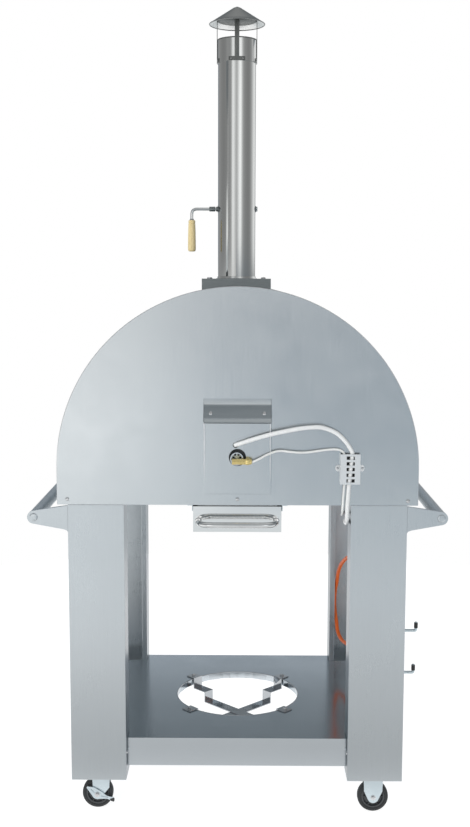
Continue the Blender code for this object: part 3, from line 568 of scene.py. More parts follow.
def stone():
    """Cordierite tile: sandy body, pits and a little soot."""
    look = Nodes("hearth_stone", (0.70, 0.60, 0.46), 0.9)
    sand = look.noise(520.0, 4.0, 0.7)
    blot = look.noise(11.0, 5.0, 0.6, (1, 1, 1), 0.3)
    pit = look.add("ShaderNodeTexVoronoi", {"Vector": look.place, "Scale": 240.0},
                   feature="F1").outputs["Distance"]
    tone = look.ramp(sand, [(0.30, (0.52, 0.43, 0.31)), (0.52, (0.70, 0.60, 0.45)),
                            (0.74, (0.82, 0.74, 0.60))])
    tone = look.mix(look.spread(blot, 0.48, 0.78, 0.0, 0.65), tone, (0.24, 0.21, 0.18))
    look.colour(look.mix(look.spread(pit, 0.0, 0.22, 0.55, 0.0), tone, (0.33, 0.27, 0.20)))
    look.roughness(look.spread(sand, 0.3, 0.7, 0.82, 0.98))
    deep = look.bump(look.spread(pit, 0.0, 0.3, 0.0, 1.0), 0.5, 0.0008)
    look.bump(sand, 0.45, 0.0006, deep)
    return look.made


def blanket():
    """White fibre board: matted strands and soft lumps."""
    look = Nodes("insulation", (0.84, 0.83, 0.79), 0.96)
    strand = look.noise(620.0, 5.0, 0.7, (1, 0.15, 1), 1.2)
    lump = look.noise(42.0, 4.0, 0.6)
    tone = look.mix(look.spread(strand, 0.3, 0.7, 0.0, 1.0), (0.72, 0.71, 0.67),
                    (0.90, 0.89, 0.86))
    look.colour(look.mix(look.spread(lump, 0.5, 0.8, 0.0, 0.4), tone, (0.60, 0.56, 0.50)))
    look.roughness(look.spread(lump, 0.3, 0.7, 0.9, 1.0))
    soft = look.bump(lump, 0.5, 0.002)
    look.bump(strand, 0.5, 0.0006, soft)
    return look.made


def sleeve_look():
    """Braided glass-fibre sleeving over the spark lead."""
    look = Nodes("white_sleeve", (0.88, 0.89, 0.89), 0.6, Sheen_Weight=0.25)
    first = look.add("ShaderNodeTexWave", {
        "Vector": look.scaled((1, 1, 1), (0.6, 0.5, 0.8)), "Scale": 330.0, "Distortion": 0.6},
        wave_type="BANDS", bands_direction="X").outputs["Fac"]
    second = look.add("ShaderNodeTexWave", {
        "Vector": look.scaled((1, 1, 1), (-0.6, 0.4, -0.8)), "Scale": 330.0,
        "Distortion": 0.6}, wave_type="BANDS", bands_direction="X").outputs["Fac"]
    braid = look.math("MAXIMUM", first, second)
    grime = look.noise(30.0, 4.0, 0.6)
    tone = look.mix(look.spread(braid, 0.2, 0.9, 0.0, 1.0), (0.72, 0.74, 0.75),
                    (0.93, 0.94, 0.94))
    look.colour(look.mix(look.spread(grime, 0.55, 0.8, 0.0, 0.3), tone, (0.66, 0.66, 0.64)))
    look.roughness(look.spread(braid, 0.0, 1.0, 0.75, 0.5))
    look.bump(braid, 0.35, 0.0004)
    return look.made


def hose_look():
    """Orange gas hose: smooth rubber cover over a knitted reinforcement."""
    look = Nodes("orange_hose", (0.86, 0.15, 0.025), 0.40)
    knit = look.add("ShaderNodeTexVoronoi", {"Vector": look.scaled((1, 1, 0.55)),
                                             "Scale": 520.0}, feature="F1").outputs["Distance"]
    scuff = look.noise(60.0, 5.0, 0.65)
    look.colour(look.mix(look.spread(scuff, 0.52, 0.8, 0.0, 0.5), (0.88, 0.155, 0.025),
                         (0.66, 0.17, 0.06)))
    look.roughness(look.spread(scuff, 0.3, 0.7, 0.34, 0.58))
    look.bump(knit, 0.16, 0.0004)
    return look.made


def paint(name, colour, rough=(0.38, 0.55)):
    """Powder coat: orange-peel surface, rubbed a little."""
    look = Nodes(name, colour, 0.45)
    peel = look.noise(700.0, 2.0, 0.5)
    rub = look.noise(20.0, 5.0, 0.65)
    look.colour(look.mix(look.spread(rub, 0.5, 0.8, 0.0, 0.5), colour,
                         tuple(c * 1.4 + 0.02 for c in colour)))
    look.roughness(look.spread(rub, 0.3, 0.7, *rough))
    look.bump(peel, 0.18, 0.0004)
    return look.made


def sooted(name, colour):
    """Thin sheet inside the chamber, blued and sooted by fire."""
    look = Nodes(name, colour, 0.45, 1.0)
    cloud = look.noise(7.0, 6.0, 0.62, (1, 1, 1), 0.5)
    fine = look.noise(300.0, 3.0, 0.6)
    tone = look.ramp(cloud, [(0.32, (0.34, 0.33, 0.32)), (0.50, (0.42, 0.36, 0.27)),
                             (0.62, (0.27, 0.25, 0.27)), (0.78, (0.09, 0.085, 0.08))])
    look.colour(tone)
    look.roughness(look.spread(cloud, 0.35, 0.75, 0.32, 0.72))
    look.bump(fine, 0.15, 0.0004)
    return look.made


PANEL_LOOK = steel("panel_steel_face", (0.60, 0.635, 0.655), (0.565, 0.60, 0.62), (0.19, 0.27),
                   "Z")
# The hood's steel is a darker copy of the panel's: painted shade on its slope.
HOOD_LOOK = steel("panel_steel_hood", (0.54, 0.58, 0.60), (0.50, 0.54, 0.56), (0.17, 0.26),
                  "X", depth=0.06)
# Its inner colour is painted shade on the inward faces of the legs and push bars.
UPRIGHT_LOOK = steel("panel_steel_upright", (0.58, 0.62, 0.645), (0.545, 0.585, 0.61),
                     (0.25, 0.35), "Z", inner=(0.24, 0.27, 0.295))
ALONG_LOOK = steel("panel_steel_along", (0.58, 0.62, 0.645), (0.545, 0.585, 0.61), (0.25, 0.35),
                   "Y")
# Its upright colour is painted light on the skirt faces of the shelf.
SHELF_LOOK = steel("panel_steel_shelf", (0.52, 0.57, 0.61), (0.49, 0.54, 0.58), (0.12, 0.19),
                   "X", depth=0.05, upright=(0.65, 0.695, 0.73))
FLUE_LOOK = steel("flue_steel_upright", (0.50, 0.51, 0.505), (0.46, 0.47, 0.465), (0.09, 0.15),
                  "Z", depth=0.05)
CAP_LOOK = steel("flue_steel_cap", (0.34, 0.345, 0.34), (0.30, 0.305, 0.30), (0.28, 0.40), "X",
                 depth=0.07)
# A far darker copy of the flue steel: painted shade on the collar rim and straps under the cap.
STRAP_DARK_LOOK = steel("flue_steel_strap", (0.17, 0.175, 0.17), (0.14, 0.145, 0.14),
                        (0.30, 0.42), "Z", depth=0.07)
# A far lighter copy of the flue steel: painted light on the lit underside of the cap and inside the
# burner tube.
LINING_LOOK = steel("flue_steel_lining", (0.90, 0.90, 0.89), (0.83, 0.83, 0.82), (0.28, 0.42),
                    "X", depth=0.07)
BASE_LOOK = steel("flue_steel_base", (0.24, 0.262, 0.265), (0.20, 0.22, 0.225), (0.26, 0.38),
                  "X", depth=0.08)
DRAWER_LOOK = steel("panel_steel_drawer", (0.86, 0.865, 0.86), (0.80, 0.805, 0.80),
                    (0.04, 0.08), "X", depth=0.012)
BRIGHT_LOOK = polished("bright_steel", (0.74, 0.75, 0.75), (0.05, 0.13))
STRAP_LOOK = polished("bright_steel_strap", (0.50, 0.52, 0.54), (0.08, 0.18))
FIXING_LOOK = polished("fixing_steel", (0.64, 0.65, 0.66), (0.08, 0.20))
ZINC_LOOK = polished("zinc_steel", (0.60, 0.68, 0.72), (0.24, 0.42), (0.42, 0.50, 0.54))
BRASS_LOOK = polished("brass", (0.95, 0.77, 0.34), (0.20, 0.36), (0.70, 0.52, 0.20))
COVER_LOOK = polished("bright_steel_cover", (0.80, 0.82, 0.83), (0.28, 0.42),
                      (0.62, 0.64, 0.66))
REGULATOR_LOOK = polished("regulator_metal", (0.46, 0.47, 0.48), (0.30, 0.48),
                          (0.28, 0.28, 0.29))
SOOT_LOOK = sooted("flue_steel_sooted", (0.34, 0.33, 0.32))
STONE_LOOK = stone()
BLANKET_LOOK = blanket()
WOOD_UP_LOOK = wood("pale_wood_upright", "Z")
WOOD_ACROSS_LOOK = wood("pale_wood_across", "X")
RUBBER_LOOK = rubber("black_rubber", (0.022, 0.025, 0.027))
PLASTIC_LOOK = plastic("black_plastic", (0.018, 0.018, 0.019))
HUB_LOOK = plastic("dark_hub", (0.05, 0.055, 0.06), (0.35, 0.5))
PAINT_LOOK = paint("black_paint", (0.035, 0.035, 0.038))
SLEEVE_LOOK = sleeve_look()
# The steel gas pipe is given flat white paint: painted highlight standing in for the bright steel's
# sheen.
PIPE_LOOK = paint("bright_steel_white_sheen", (0.80, 0.81, 0.80), (0.28, 0.42))
HOSE_LOOK = hose_look()
DIAL_LOOK = paint("dial_face", (0.86, 0.86, 0.84), (0.4, 0.5))
MARK_LOOK = paint("dial_marks", (0.02, 0.02, 0.02))
POINTER_LOOK = paint("dial_pointer", (0.55, 0.03, 0.02))


def glass():
    look = Nodes("dial_glass", (0.97, 0.98, 0.98), 0.03, Transmission_Weight=1.0, IOR=1.45)
    smear = look.noise(40.0, 4.0, 0.6)
    look.roughness(look.spread(smear, 0.4, 0.8, 0.02, 0.09))
    return look.made


GLASS_LOOK = glass()


# Gas hose -------------------------------------------------
HOSE_R = 0.0052
HOSE_ROUTE = [
    (0.2765, 0.125, 0.7347), (0.2765, 0.125, 0.7050), (0.2785, 0.127, 0.6720),
    (0.2860, 0.150, 0.6300), (0.3030, 0.220, 0.5850), (0.3160, 0.310, 0.5620),
    (0.3180, 0.390, 0.5480), (0.3110, 0.450, 0.5310), (0.3024, 0.500, 0.5111),
    (0.2935, 0.545, 0.4837), (0.2880, 0.577, 0.4520), (0.2864, 0.597, 0.4200),
    (0.2830, 0.611, 0.3900), (0.2815, 0.615, 0.3573), (0.2830, 0.611, 0.3260),
    (0.2864, 0.597, 0.2990), (0.2885, 0.577, 0.2770), (0.2960, 0.543, 0.2640),
    (0.3075, 0.495, 0.2660), (0.3180, 0.440, 0.2760), (0.3300, 0.340, 0.2830),
    (0.3365, 0.230, 0.2840), (0.3370, 0.140, 0.2960), (0.3340, 0.076, 0.3280),
    (0.3312, 0.0410, 0.3800), (0.3312, 0.0385, 0.4093)]


def gas_hose():
    route = [Vector((x, behind(depth), z)) for x, depth, z in HOSE_ROUTE]
    line = smooth_route(route, 200)
    hose = piece("gas_hose_tube", sweep(line, HOSE_R, 20), HOSE_LOOK,
                 stands_for=("gas_hose",), angle=TUBE)

    # A swaged ferrule at each end, with two crimped rings.
    crimp = [(HOSE_R + 0.0003, 0.0), (HOSE_R + 0.0018, 0.0), (HOSE_R + 0.0021, 0.0010),
             (HOSE_R + 0.0021, 0.0055), (HOSE_R + 0.0013, 0.0065), (HOSE_R + 0.0013, 0.0080),
             (HOSE_R + 0.0021, 0.0090), (HOSE_R + 0.0018, 0.0120), (HOSE_R + 0.0003, 0.0120)]
    start, end = line[0], line[-1]
    first = piece("hose_ferrule_upper", lathe(crimp, start, line[4] - start, 32, True),
                  FIXING_LOOK)
    second = piece("hose_ferrule_lower", lathe(crimp, end, line[-5] - end, 32, True), FIXING_LOOK)

    # Regulator: a ribbed round body with a domed cover, a barb below and a grip nut above.
    box_low, box_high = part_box("hose_regulator")
    centre = (box_low + box_high) / 2
    body_z = box_low.z + 0.048
    disc_r = (box_high.x - box_low.x) / 2
    half = (box_high.y - box_low.y) / 2
    body = [(0, -half), (0.010, -half), (0.012, -half + 0.001), (0.0205, -half + 0.0022),
            (0.0215, -half + 0.0045), (disc_r - 0.002, -half + 0.0052),
            (disc_r - 0.0004, -half + 0.0065), (disc_r - 0.0004, -0.0015),
            (disc_r - 0.0015, -0.0007), (disc_r - 0.0015, 0.0007), (disc_r - 0.0004, 0.0015),
            (disc_r - 0.0004, half - 0.0065), (disc_r - 0.002, half - 0.0052),
            (0.0225, half - 0.0040), (0.0180, half - 0.0012), (0.009, half), (0, half)]
    at = Vector((centre.x, centre.y, body_z))
    shapes = [lathe(body, at, AHEAD, 64)]
    for i in range(8):
        angle = 2 * math.pi * (i + 0.5) / 8
        lug = lathe([(0, 0.0), (0.0022, 0.0), (0.0026, 0.0006), (0.0026, 0.0030),
                     (0.0020, 0.0036), (0, 0.0036)], at
                    + Vector((math.cos(angle) * 0.0250, -half + 0.0048,
                              math.sin(angle) * 0.0250)), -AHEAD, 14)
        shapes.append(lug)
    barb = [(0, 0.0), (0.0050, 0.0), (0.0062, 0.0020), (0.0054, 0.0040), (0.0064, 0.0060),
            (0.0056, 0.0080), (0.0068, 0.0100), (0.0068, 0.0240), (0, 0.0240)]
    shapes.append(lathe(barb, (centre.x, centre.y, box_low.z), UP, 28))
    neck = drum(0.0085, 0.0, 0.016)
    shapes.append(lathe(neck, (centre.x, centre.y, body_z + disc_r - 0.006), UP, 28))
    regulator = piece("regulator_body", shapes, REGULATOR_LOOK,
                      stands_for=("hose_regulator",))
    nut_low = box_high.z - 0.042
    nut_shape = lathe([(0.006, 0.0), (0.0140, 0.0), (0.0160, 0.002), (0.0160, 0.036),
                       (0.0145, 0.042), (0.0090, 0.042), (0.0090, 0.020), (0.006, 0.020)],
                      (centre.x, centre.y, nut_low), UP, 72, True)
    for vert in nut_shape.verts:
        way = Vector((vert.co.x - centre.x, vert.co.y - centre.y))
        if way.length > 0.0155:
            turn = round(math.atan2(way.y, way.x) / (2 * math.pi) * 72)
            if turn % 3 == 0:
                vert.co.x -= way.x / way.length * 0.0011
                vert.co.y -= way.y / way.length * 0.0011
    nut = piece("regulator_nut", nut_shape, PLASTIC_LOOK)


gas_hose()


# CAD nodes that stay --------------------------------------
CORNERS = ("rear_left", "rear_right", "front_left", "front_right")
DRESSED = [                                # look, width of the eased edges, nodes
    (PANEL_LOOK, 0.0005, ["rear_panel", "front_panel"]), (ALONG_LOOK, 0, ["base_pan"]),
    (PANEL_LOOK, 0.0006, ["landing_shelf"]), (PANEL_LOOK, 0.0012, ["door_panel"]),
    (PANEL_LOOK, 0.0008, ["access_cover"]), (DRAWER_LOOK, 0.0005, ["drawer_tray"]),
    (UPRIGHT_LOOK, 0.0008, [f"leg_{corner}" for corner in CORNERS]),
    (SHELF_LOOK, 0.0007, ["bottom_shelf"]), (BASE_LOOK, 0.0008, ["chimney_base"]),
    # The burner tube takes the lining's painted light, for its lit inside.
    (SOOT_LOOK, 0, ["damper_plate"]), (LINING_LOOK, 0, ["burner_tube"]),
    (UPRIGHT_LOOK, 0.0010, ["push_bar_left", "push_bar_right"]),
    (COVER_LOOK, 0.0004, ["line_cover"]), (STRAP_LOOK, 0.0005, ["bottle_cradle"]),
    (ZINC_LOOK, 0, ["drawer_frame"]),
    (ZINC_LOOK, 0.0006, ["brake_lever_rear_left", "brake_lever_front_left"]),
    (STONE_LOOK, 0, ["hearth_tile_left", "hearth_tile_right", "hearth_threshold"]),
    (BLANKET_LOOK, 0, ["insulation_blanket", "rear_slab", "mouth_arch", "floor_insulation"]),
    (PAINT_LOOK, 0, ["valve_casing"]), (BRASS_LOOK, 0.0006, ["gas_fitting"]),
    (BRASS_LOOK, 0.0005, ["hose_elbow"]),
    (ZINC_LOOK, 0.0005, [f"castor_fork_{corner}" for corner in CORNERS])]


def dress(node, look, width):
    """A CAD node's material, with its vertices welded and its folds eased by modifiers."""
    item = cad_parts[node]
    item.data.materials.clear()
    item.data.materials.append(look)
    weld = item.modifiers.new("Weld", "WELD")
    weld.merge_threshold = 0.000002
    if width:
        ease = item.modifiers.new("Ease", "BEVEL")
        ease.width = width
        ease.segments = 2
        ease.limit_method = "ANGLE"
        ease.angle_limit = math.radians(38)
        ease.use_clamp_overlap = True


for look, width, nodes in DRESSED:
    for node in nodes:
        dress(node, look, width)


# Oven body ------------------------------------------------
def arch_line(radius, bottom, y, steps=96):
    line = [Vector((radius, y, bottom))]
    for i in range(steps + 1):
        angle = math.pi * i / steps
        line.append(Vector((radius * math.cos(angle), y, SPRING_Z + radius * math.sin(angle))))
    return line + [Vector((-radius, y, bottom))]


def arched_sheet(name, node, look):
    """A barrel sheet without facets, with the hole that the flue passes through."""
    sheet_low, sheet_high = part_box(node)
    shape = bmesh.new()
    rings = []
    for y in (sheet_low.y, sheet_high.y):
        line = arch_line(sheet_high.x, sheet_low.z, y)
        line += arch_line(sheet_high.x - 0.0015, sheet_low.z, y)[::-1]
        rings.append([shape.verts.new(point) for point in line])
    count = len(rings[0])
    for i in range(count):
        j = (i + 1) % count
        shape.faces.new((rings[0][i], rings[0][j], rings[1][j], rings[1][i]))
    for ring in rings:
        for i in range(count // 2 - 1):
            shape.faces.new((ring[i], ring[i + 1], ring[count - 2 - i], ring[count - 1 - i]))
    hole = lathe(drum(PIPE_R + 0.0006, 1.0, 1.4), (FLUE.x, FLUE.y, 0), UP, 64)
    piece(name, carved(shape, [hole]), look, stands_for=(node,))


def body_details():
    arched_sheet("roof_shell", "outer_shell", ALONG_LOOK)
    arched_sheet("chamber_vault", "inner_vault", SOOT_LOOK)
    bead = 0.0011
    for name, y in (("roof_bead_rear", REAR + bead), ("roof_bead_front", FRONT - bead)):
        line = arch_line(BODY_R - 0.0002, BODY_Z + 0.001, y)
        piece(name, sweep(line, bead, 10), FIXING_LOOK, angle=TUBE)
    edge = BODY_R - 0.0235
    fasteners("rear_panel_screws", SCREW,
              [((-edge, REAR, BODY_Z + 0.0130), -AHEAD, 0.0046, 18),
               ((0.0002, REAR, BODY_Z + 0.0139), -AHEAD, 0.0046, 40),
               ((edge + 0.0005, REAR, BODY_Z + 0.0110), -AHEAD, 0.0046, 65)],
              FIXING_LOOK)
    fasteners("front_panel_screws", SCREW,
              [((-edge, FRONT, BODY_Z + 0.0130), AHEAD, 0.0046, 25),
               ((edge, FRONT, BODY_Z + 0.0130), AHEAD, 0.0046, 70)],
              FIXING_LOOK)
    shelf_high = high("landing_shelf")
    fasteners("landing_shelf_screws", SCREW,
              [((x, shelf_high.y, shelf_high.z - 0.0155), AHEAD, 0.0042, spin)
               for x, spin in ((-0.250, 10), (0.0, 50), (0.250, 33))],
              FIXING_LOOK)
    burner_hood()


def burner_hood():
    """The cowl over the port: a sheet that leaves the panel gently and ends in a folded lip."""
    hood_low, hood_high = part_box("burner_hood")
    top, bottom = hood_high.z, hood_low.z
    outside = [(0.0009, top), (0.0011, top - 0.010), (0.0017, top - 0.0145),
               (0.0034, top - 0.0195), (0.0060, top - 0.0258), (0.0090, top - 0.0325),
               (0.0120, top - 0.0392), (0.0140, top - 0.0437), (0.0145, top - 0.0447),
               (0.0146, top - 0.0462), (0.0162, top - 0.0468), (0.0200, bottom + 0.0012),
               (0.0204, bottom + 0.0004)]
    sheet = 0.0011
    inside = [(max(proud - sheet, 0.0003), z - 0.0003) for proud, z in outside[:-1]]
    inside.append((outside[-1][0] - sheet, bottom + 0.0004))
    ring = outside + inside[::-1]

    def extruded(outline, left, right):
        shape = bmesh.new()
        ends = [[shape.verts.new((x, behind(-proud), z)) for proud, z in outline]
                for x in (left, right)]
        for i in range(len(outline)):
            j = (i + 1) % len(outline)
            shape.faces.new((ends[0][i], ends[0][j], ends[1][j], ends[1][i]))
        shape.faces.new(ends[0][::-1])
        shape.faces.new(ends[1])
        return shape

    gusset = outside[:-1] + [(0.0003, bottom + 0.0012), (0.0003, top)]
    shapes = [extruded(ring, hood_low.x, hood_high.x),
              extruded(gusset, hood_low.x + 0.0002, hood_low.x + 0.0013),
              extruded(gusset, hood_high.x - 0.0013, hood_high.x - 0.0002)]
    piece("burner_cowl", shapes, HOOD_LOOK, stands_for=("burner_hood",),
          angle=26.0)
    tilt = Vector((0, -1, 0.45)).normalized()
    fasteners("burner_hood_screws", SCREW,
              [((side * 0.0620, behind(-0.0091), top - 0.0330), tilt, 0.0050, spin)
               for side, spin in ((-1, 12), (1, 58))], FIXING_LOOK)


# Chimney --------------------------------------------------
def chimney_details():
    foot, top = low("chimney_pipe").z, high("chimney_pipe").z
    wall = 0.0015
    outer = PIPE_R
    at = (FLUE.x, FLUE.y, 0)
    profile = [(outer, foot), (outer, top), (outer - wall, top), (outer - wall, foot)]
    pipe = lathe(profile, at, UP, 128, True)
    # The lock seam, folded flat down the pipe.
    angle = math.radians(-90 - 30)
    seam = block((-0.0032, -0.0005, 1.290), (0.0032, 0.0007, top), 0.0004, 2)
    place = (Matrix.Translation(at) @ Matrix.Rotation(angle + math.pi / 2, 4, "Z")
             @ Matrix.Translation((0, -outer, 0)))
    moved(seam, place)
    piece("flue_pipe", [pipe, seam], FLUE_LOOK, stands_for=("chimney_pipe",))

    # Ring where the pipe leaves its base.
    base_top = high("chimney_base").z
    ring = [(outer + 0.0002, 0.0), (outer + 0.0050, 0.0), (outer + 0.0048, 0.0012),
            (outer + 0.0018, 0.0016), (outer + 0.0012, 0.0060), (outer + 0.0002, 0.0064)]
    piece("flue_ring", lathe(ring, (FLUE.x, FLUE.y, base_top), UP, 96, True), FLUE_LOOK)
    base_low, base_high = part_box("chimney_base")
    inset = 0.0185
    fasteners("chimney_base_bolts", BOLT,
              [((x, y, base_high.z), UP, 0.0048, spin)
               for x, y, spin in ((base_low.x + inset, base_low.y + inset, 8),
                                  (base_high.x - inset, base_low.y + inset, 40),
                                  (base_low.x + inset, base_high.y - inset, 22),
                                  (base_high.x - inset, base_high.y - inset, 51))],
              FIXING_LOOK)

    # Cone with a rolled brim, a lap seam and a small rivet at its tip.
    cone_low, cone_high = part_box("cap_cone")
    brim_r = (cone_high.x - cone_low.x) / 2
    brim, tip, nose = cone_low.z, cone_high.z, 0.0050
    thick = 0.0012
    roll = [(brim_r - 0.0016 + 0.0013 * math.cos(a), brim + 0.0017 + 0.0013 * math.sin(a))
            for a in (math.radians(t) for t in range(50, -230, -20))]
    slant = [(0.0125 + (brim_r - 0.0145) * i / 6,
              tip - nose - (tip - nose - brim - 0.0030) * i / 6) for i in range(7)]
    skin = [(0.0, tip - 0.0012), (0.0050, tip - 0.0014), (0.0095, tip - 0.0030)] + slant + roll
    lining = [(radius - 0.0002, height - thick) for radius, height in slant[::-1]]
    lining += [(0.0, tip - nose - thick)]
    cone = lathe(skin, at, UP, 96)
    # The lining is painted light, far lighter than the cap's outer face of the same sheet.
    piece("cap_lining", lathe([(brim_r - 0.0010, brim + 0.0014)] + lining, at, UP, 96),
          LINING_LOOK)
    knob = lathe([(0, tip), (0.0030, tip - 0.0003), (0.0045, tip - 0.0012),
                  (0.0050, tip - 0.0026), (0, tip - 0.0026)], at, UP, 32)
    slope = Vector((brim_r - 0.0145, 0, -(tip - nose - brim - 0.0030)))
    lap = block((0.013, -0.0030, -0.0003), (slope.length + 0.009, 0.0030, 0.0008), 0.0003, 2)
    tilt = math.atan2(-slope.z, slope.x)
    lift = Vector((0.0125, 0, tip - nose)) - Vector((math.cos(tilt), 0, -math.sin(tilt))) * 0.013
    place = (Matrix.Translation(at) @ Matrix.Rotation(math.radians(150), 4, "Z")
             @ Matrix.Translation(lift) @ Matrix.Rotation(tilt, 4, "Y"))
    moved(lap, place)
    piece("cap_hood", [cone, knob, lap], CAP_LOOK, stands_for=("cap_cone",))

    # Collar with a rolled rim and a lap seam.
    frame_low, frame_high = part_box("cap_frame")
    rim_z, sheet = 1.909, 0.0012
    inner = outer + 0.0003
    outside = inner + sheet
    rim = [(outside + 0.0004 + 0.0014 * math.cos(a), rim_z - 0.0014 + 0.0014 * math.sin(a))
           for a in (math.radians(t) for t in range(150, -211, -24))]
    sleeve = [(inner, frame_low.z), (outside, frame_low.z), (outside, rim_z - 0.0010),
              (inner, rim_z - 0.0010)]
    lap = block((-0.0045, -0.0004, frame_low.z), (0.0045, 0.0009, rim_z - 0.0030), 0.0003, 2)
    place = (Matrix.Translation(at) @ Matrix.Rotation(math.radians(62), 4, "Z")
             @ Matrix.Translation((0, -outside, 0)))
    moved(lap, place)
    piece("flue_collar", [lathe(sleeve, at, UP, 128, True), lap], FLUE_LOOK,
          stands_for=("cap_frame",))
    # The rim is painted dark, as shade under the cap.
    piece("collar_rim", lathe(rim, at, UP, 128, True), STRAP_DARK_LOOK)

    # Four straps with T-shaped feet, folded in under the disc that closes the cone.
    disc_z = frame_high.z
    shapes = [lathe([(0, disc_z), (outside - 0.0012, disc_z), (outside, disc_z - 0.0006),
                     (outside, disc_z - 0.0012), (outside - 0.0014, disc_z - 0.0018),
                     (0, disc_z - 0.0018)], at, UP, 96)]
    foot_low, foot_high, thick = frame_low.z, frame_low.z + 0.0105, 0.0016
    half = 0.0058
    for quarter in range(4):
        spin = Matrix.Translation(at) @ Matrix.Rotation(quarter * math.pi / 2, 4, "Z")
        strap = block((outside + 0.0001, -half, foot_high - 0.0020),
                      (outside + thick, half, disc_z - 0.0006), 0.0004, 2)
        ledge = block((outside - 0.0050, -half, disc_z - 0.0026),
                      (outside + thick, half, disc_z - 0.0012), 0.0004, 2)
        base = bmesh.new()
        rings = []
        for i in range(17):
            turn = math.radians(-24 + 3 * i)
            rings.append([base.verts.new((radius * math.cos(turn), radius * math.sin(turn), z))
                          for radius, z in ((outside + 0.0001, foot_low),
                                            (outside + thick, foot_low + 0.0003),
                                            (outside + thick, foot_high - 0.0003),
                                            (outside + 0.0001, foot_high))])
        for first, second in zip(rings, rings[1:]):
            for i in range(4):
                j = (i + 1) % 4
                base.faces.new((first[i], first[j], second[j], second[i]))
        base.faces.new(rings[0][::-1])
        base.faces.new(rings[-1])
        for shape in (strap, ledge, base):
            moved(shape, spin)
            shapes.append(shape)
    # The straps take the same painted shade.
    piece("cap_straps", shapes, STRAP_DARK_LOOK)
    places = []
    for quarter in range(4):
        for side in (-1, 1):
            turn = quarter * math.pi / 2 + side * math.radians(17)
            way = Vector((math.cos(turn), math.sin(turn), 0))
            places.append((Vector(at) + way * (outside + thick) + UP * (foot_low + 0.0053),
                           way, 0.0030, 0))
    fasteners("cap_rivets", RIVET, places, CAP_LOOK)

    # Bushes that carry the damper's shaft through the pipe.
    shaft_z = middle("damper_plate").z
    bush = [(0.0044, 0.0), (0.0088, 0.0), (0.0088, 0.0016), (0.0064, 0.0024), (0.0062, 0.0060),
            (0.0044, 0.0064)]
    shapes = [lathe(bush, (FLUE.x + side * (outer - 0.0008), FLUE.y, shaft_z), (side, 0, 0), 32,
                    True) for side in (-1, 1)]
    piece("damper_bushes", shapes, BASE_LOOK)


def damper_details():
    rod_low, rod_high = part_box("damper_rod")
    z = middle("damper_plate").z
    crank_x = rod_low.x + 0.0040
    grip_low, grip_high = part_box("damper_grip")
    corners = [(rod_high.x, FLUE.y, z), (crank_x, FLUE.y, z), (crank_x, FLUE.y, grip_high.z - 0.03)]
    piece("damper_shaft", sweep(bent(corners, 0.014, 12), 0.0040, 20), BRIGHT_LOOK, "damper",
          ("damper_rod",), angle=TUBE)
    sleeve = [(0.0041, 0.0), (0.0060, 0.0), (0.0064, 0.0006), (0.0064, 0.0150), (0.0058, 0.0160),
              (0.0041, 0.0160)]
    left = FLUE.x - PIPE_R - 0.0072
    shapes = [lathe(sleeve, (left, FLUE.y, z), (-1, 0, 0), 28, True)]
    piece("damper_sleeve", shapes, BASE_LOOK, "damper")
    nut = hex_nut(0.0072, 0.0050, 0.0006, (rod_high.x - 0.0052, FLUE.y, z), RIGHT, 0.3)
    piece("damper_nut", nut, FIXING_LOOK, "damper")
    r = (grip_high.x - grip_low.x) / 2
    tall = grip_high.z - grip_low.z
    line = [(0, 0), (r * 0.55, 0.0), (r * 0.86, 0.0012), (r * 0.97, 0.0040), (r, 0.0075),
            (r * 0.985, tall * 0.30), (r * 0.95, tall * 0.60), (r * 0.90, tall - 0.016),
            (r * 0.88, tall - 0.0100), (r * 0.80, tall - 0.0092), (r * 0.80, tall - 0.0080),
            (r * 0.88, tall - 0.0072), (r * 0.87, tall - 0.0025), (r * 0.74, tall - 0.0004),
            (r * 0.50, tall), (0, tall)]
    at = (crank_x, FLUE.y, grip_low.z)
    piece("damper_handle", lathe(line, at, UP, 48), WOOD_UP_LOOK, "damper",
          ("damper_grip",), angle=50)
    ferrule = [(0.0041, -0.0006), (r * 0.52, -0.0006), (r * 0.56, 0.0), (r * 0.54, 0.0022),
               (0.0050, 0.0034), (0.0041, 0.0034)]
    piece("damper_ferrule", lathe(ferrule, (crank_x, FLUE.y, grip_high.z), UP, 32, True),
          FIXING_LOOK, "damper")


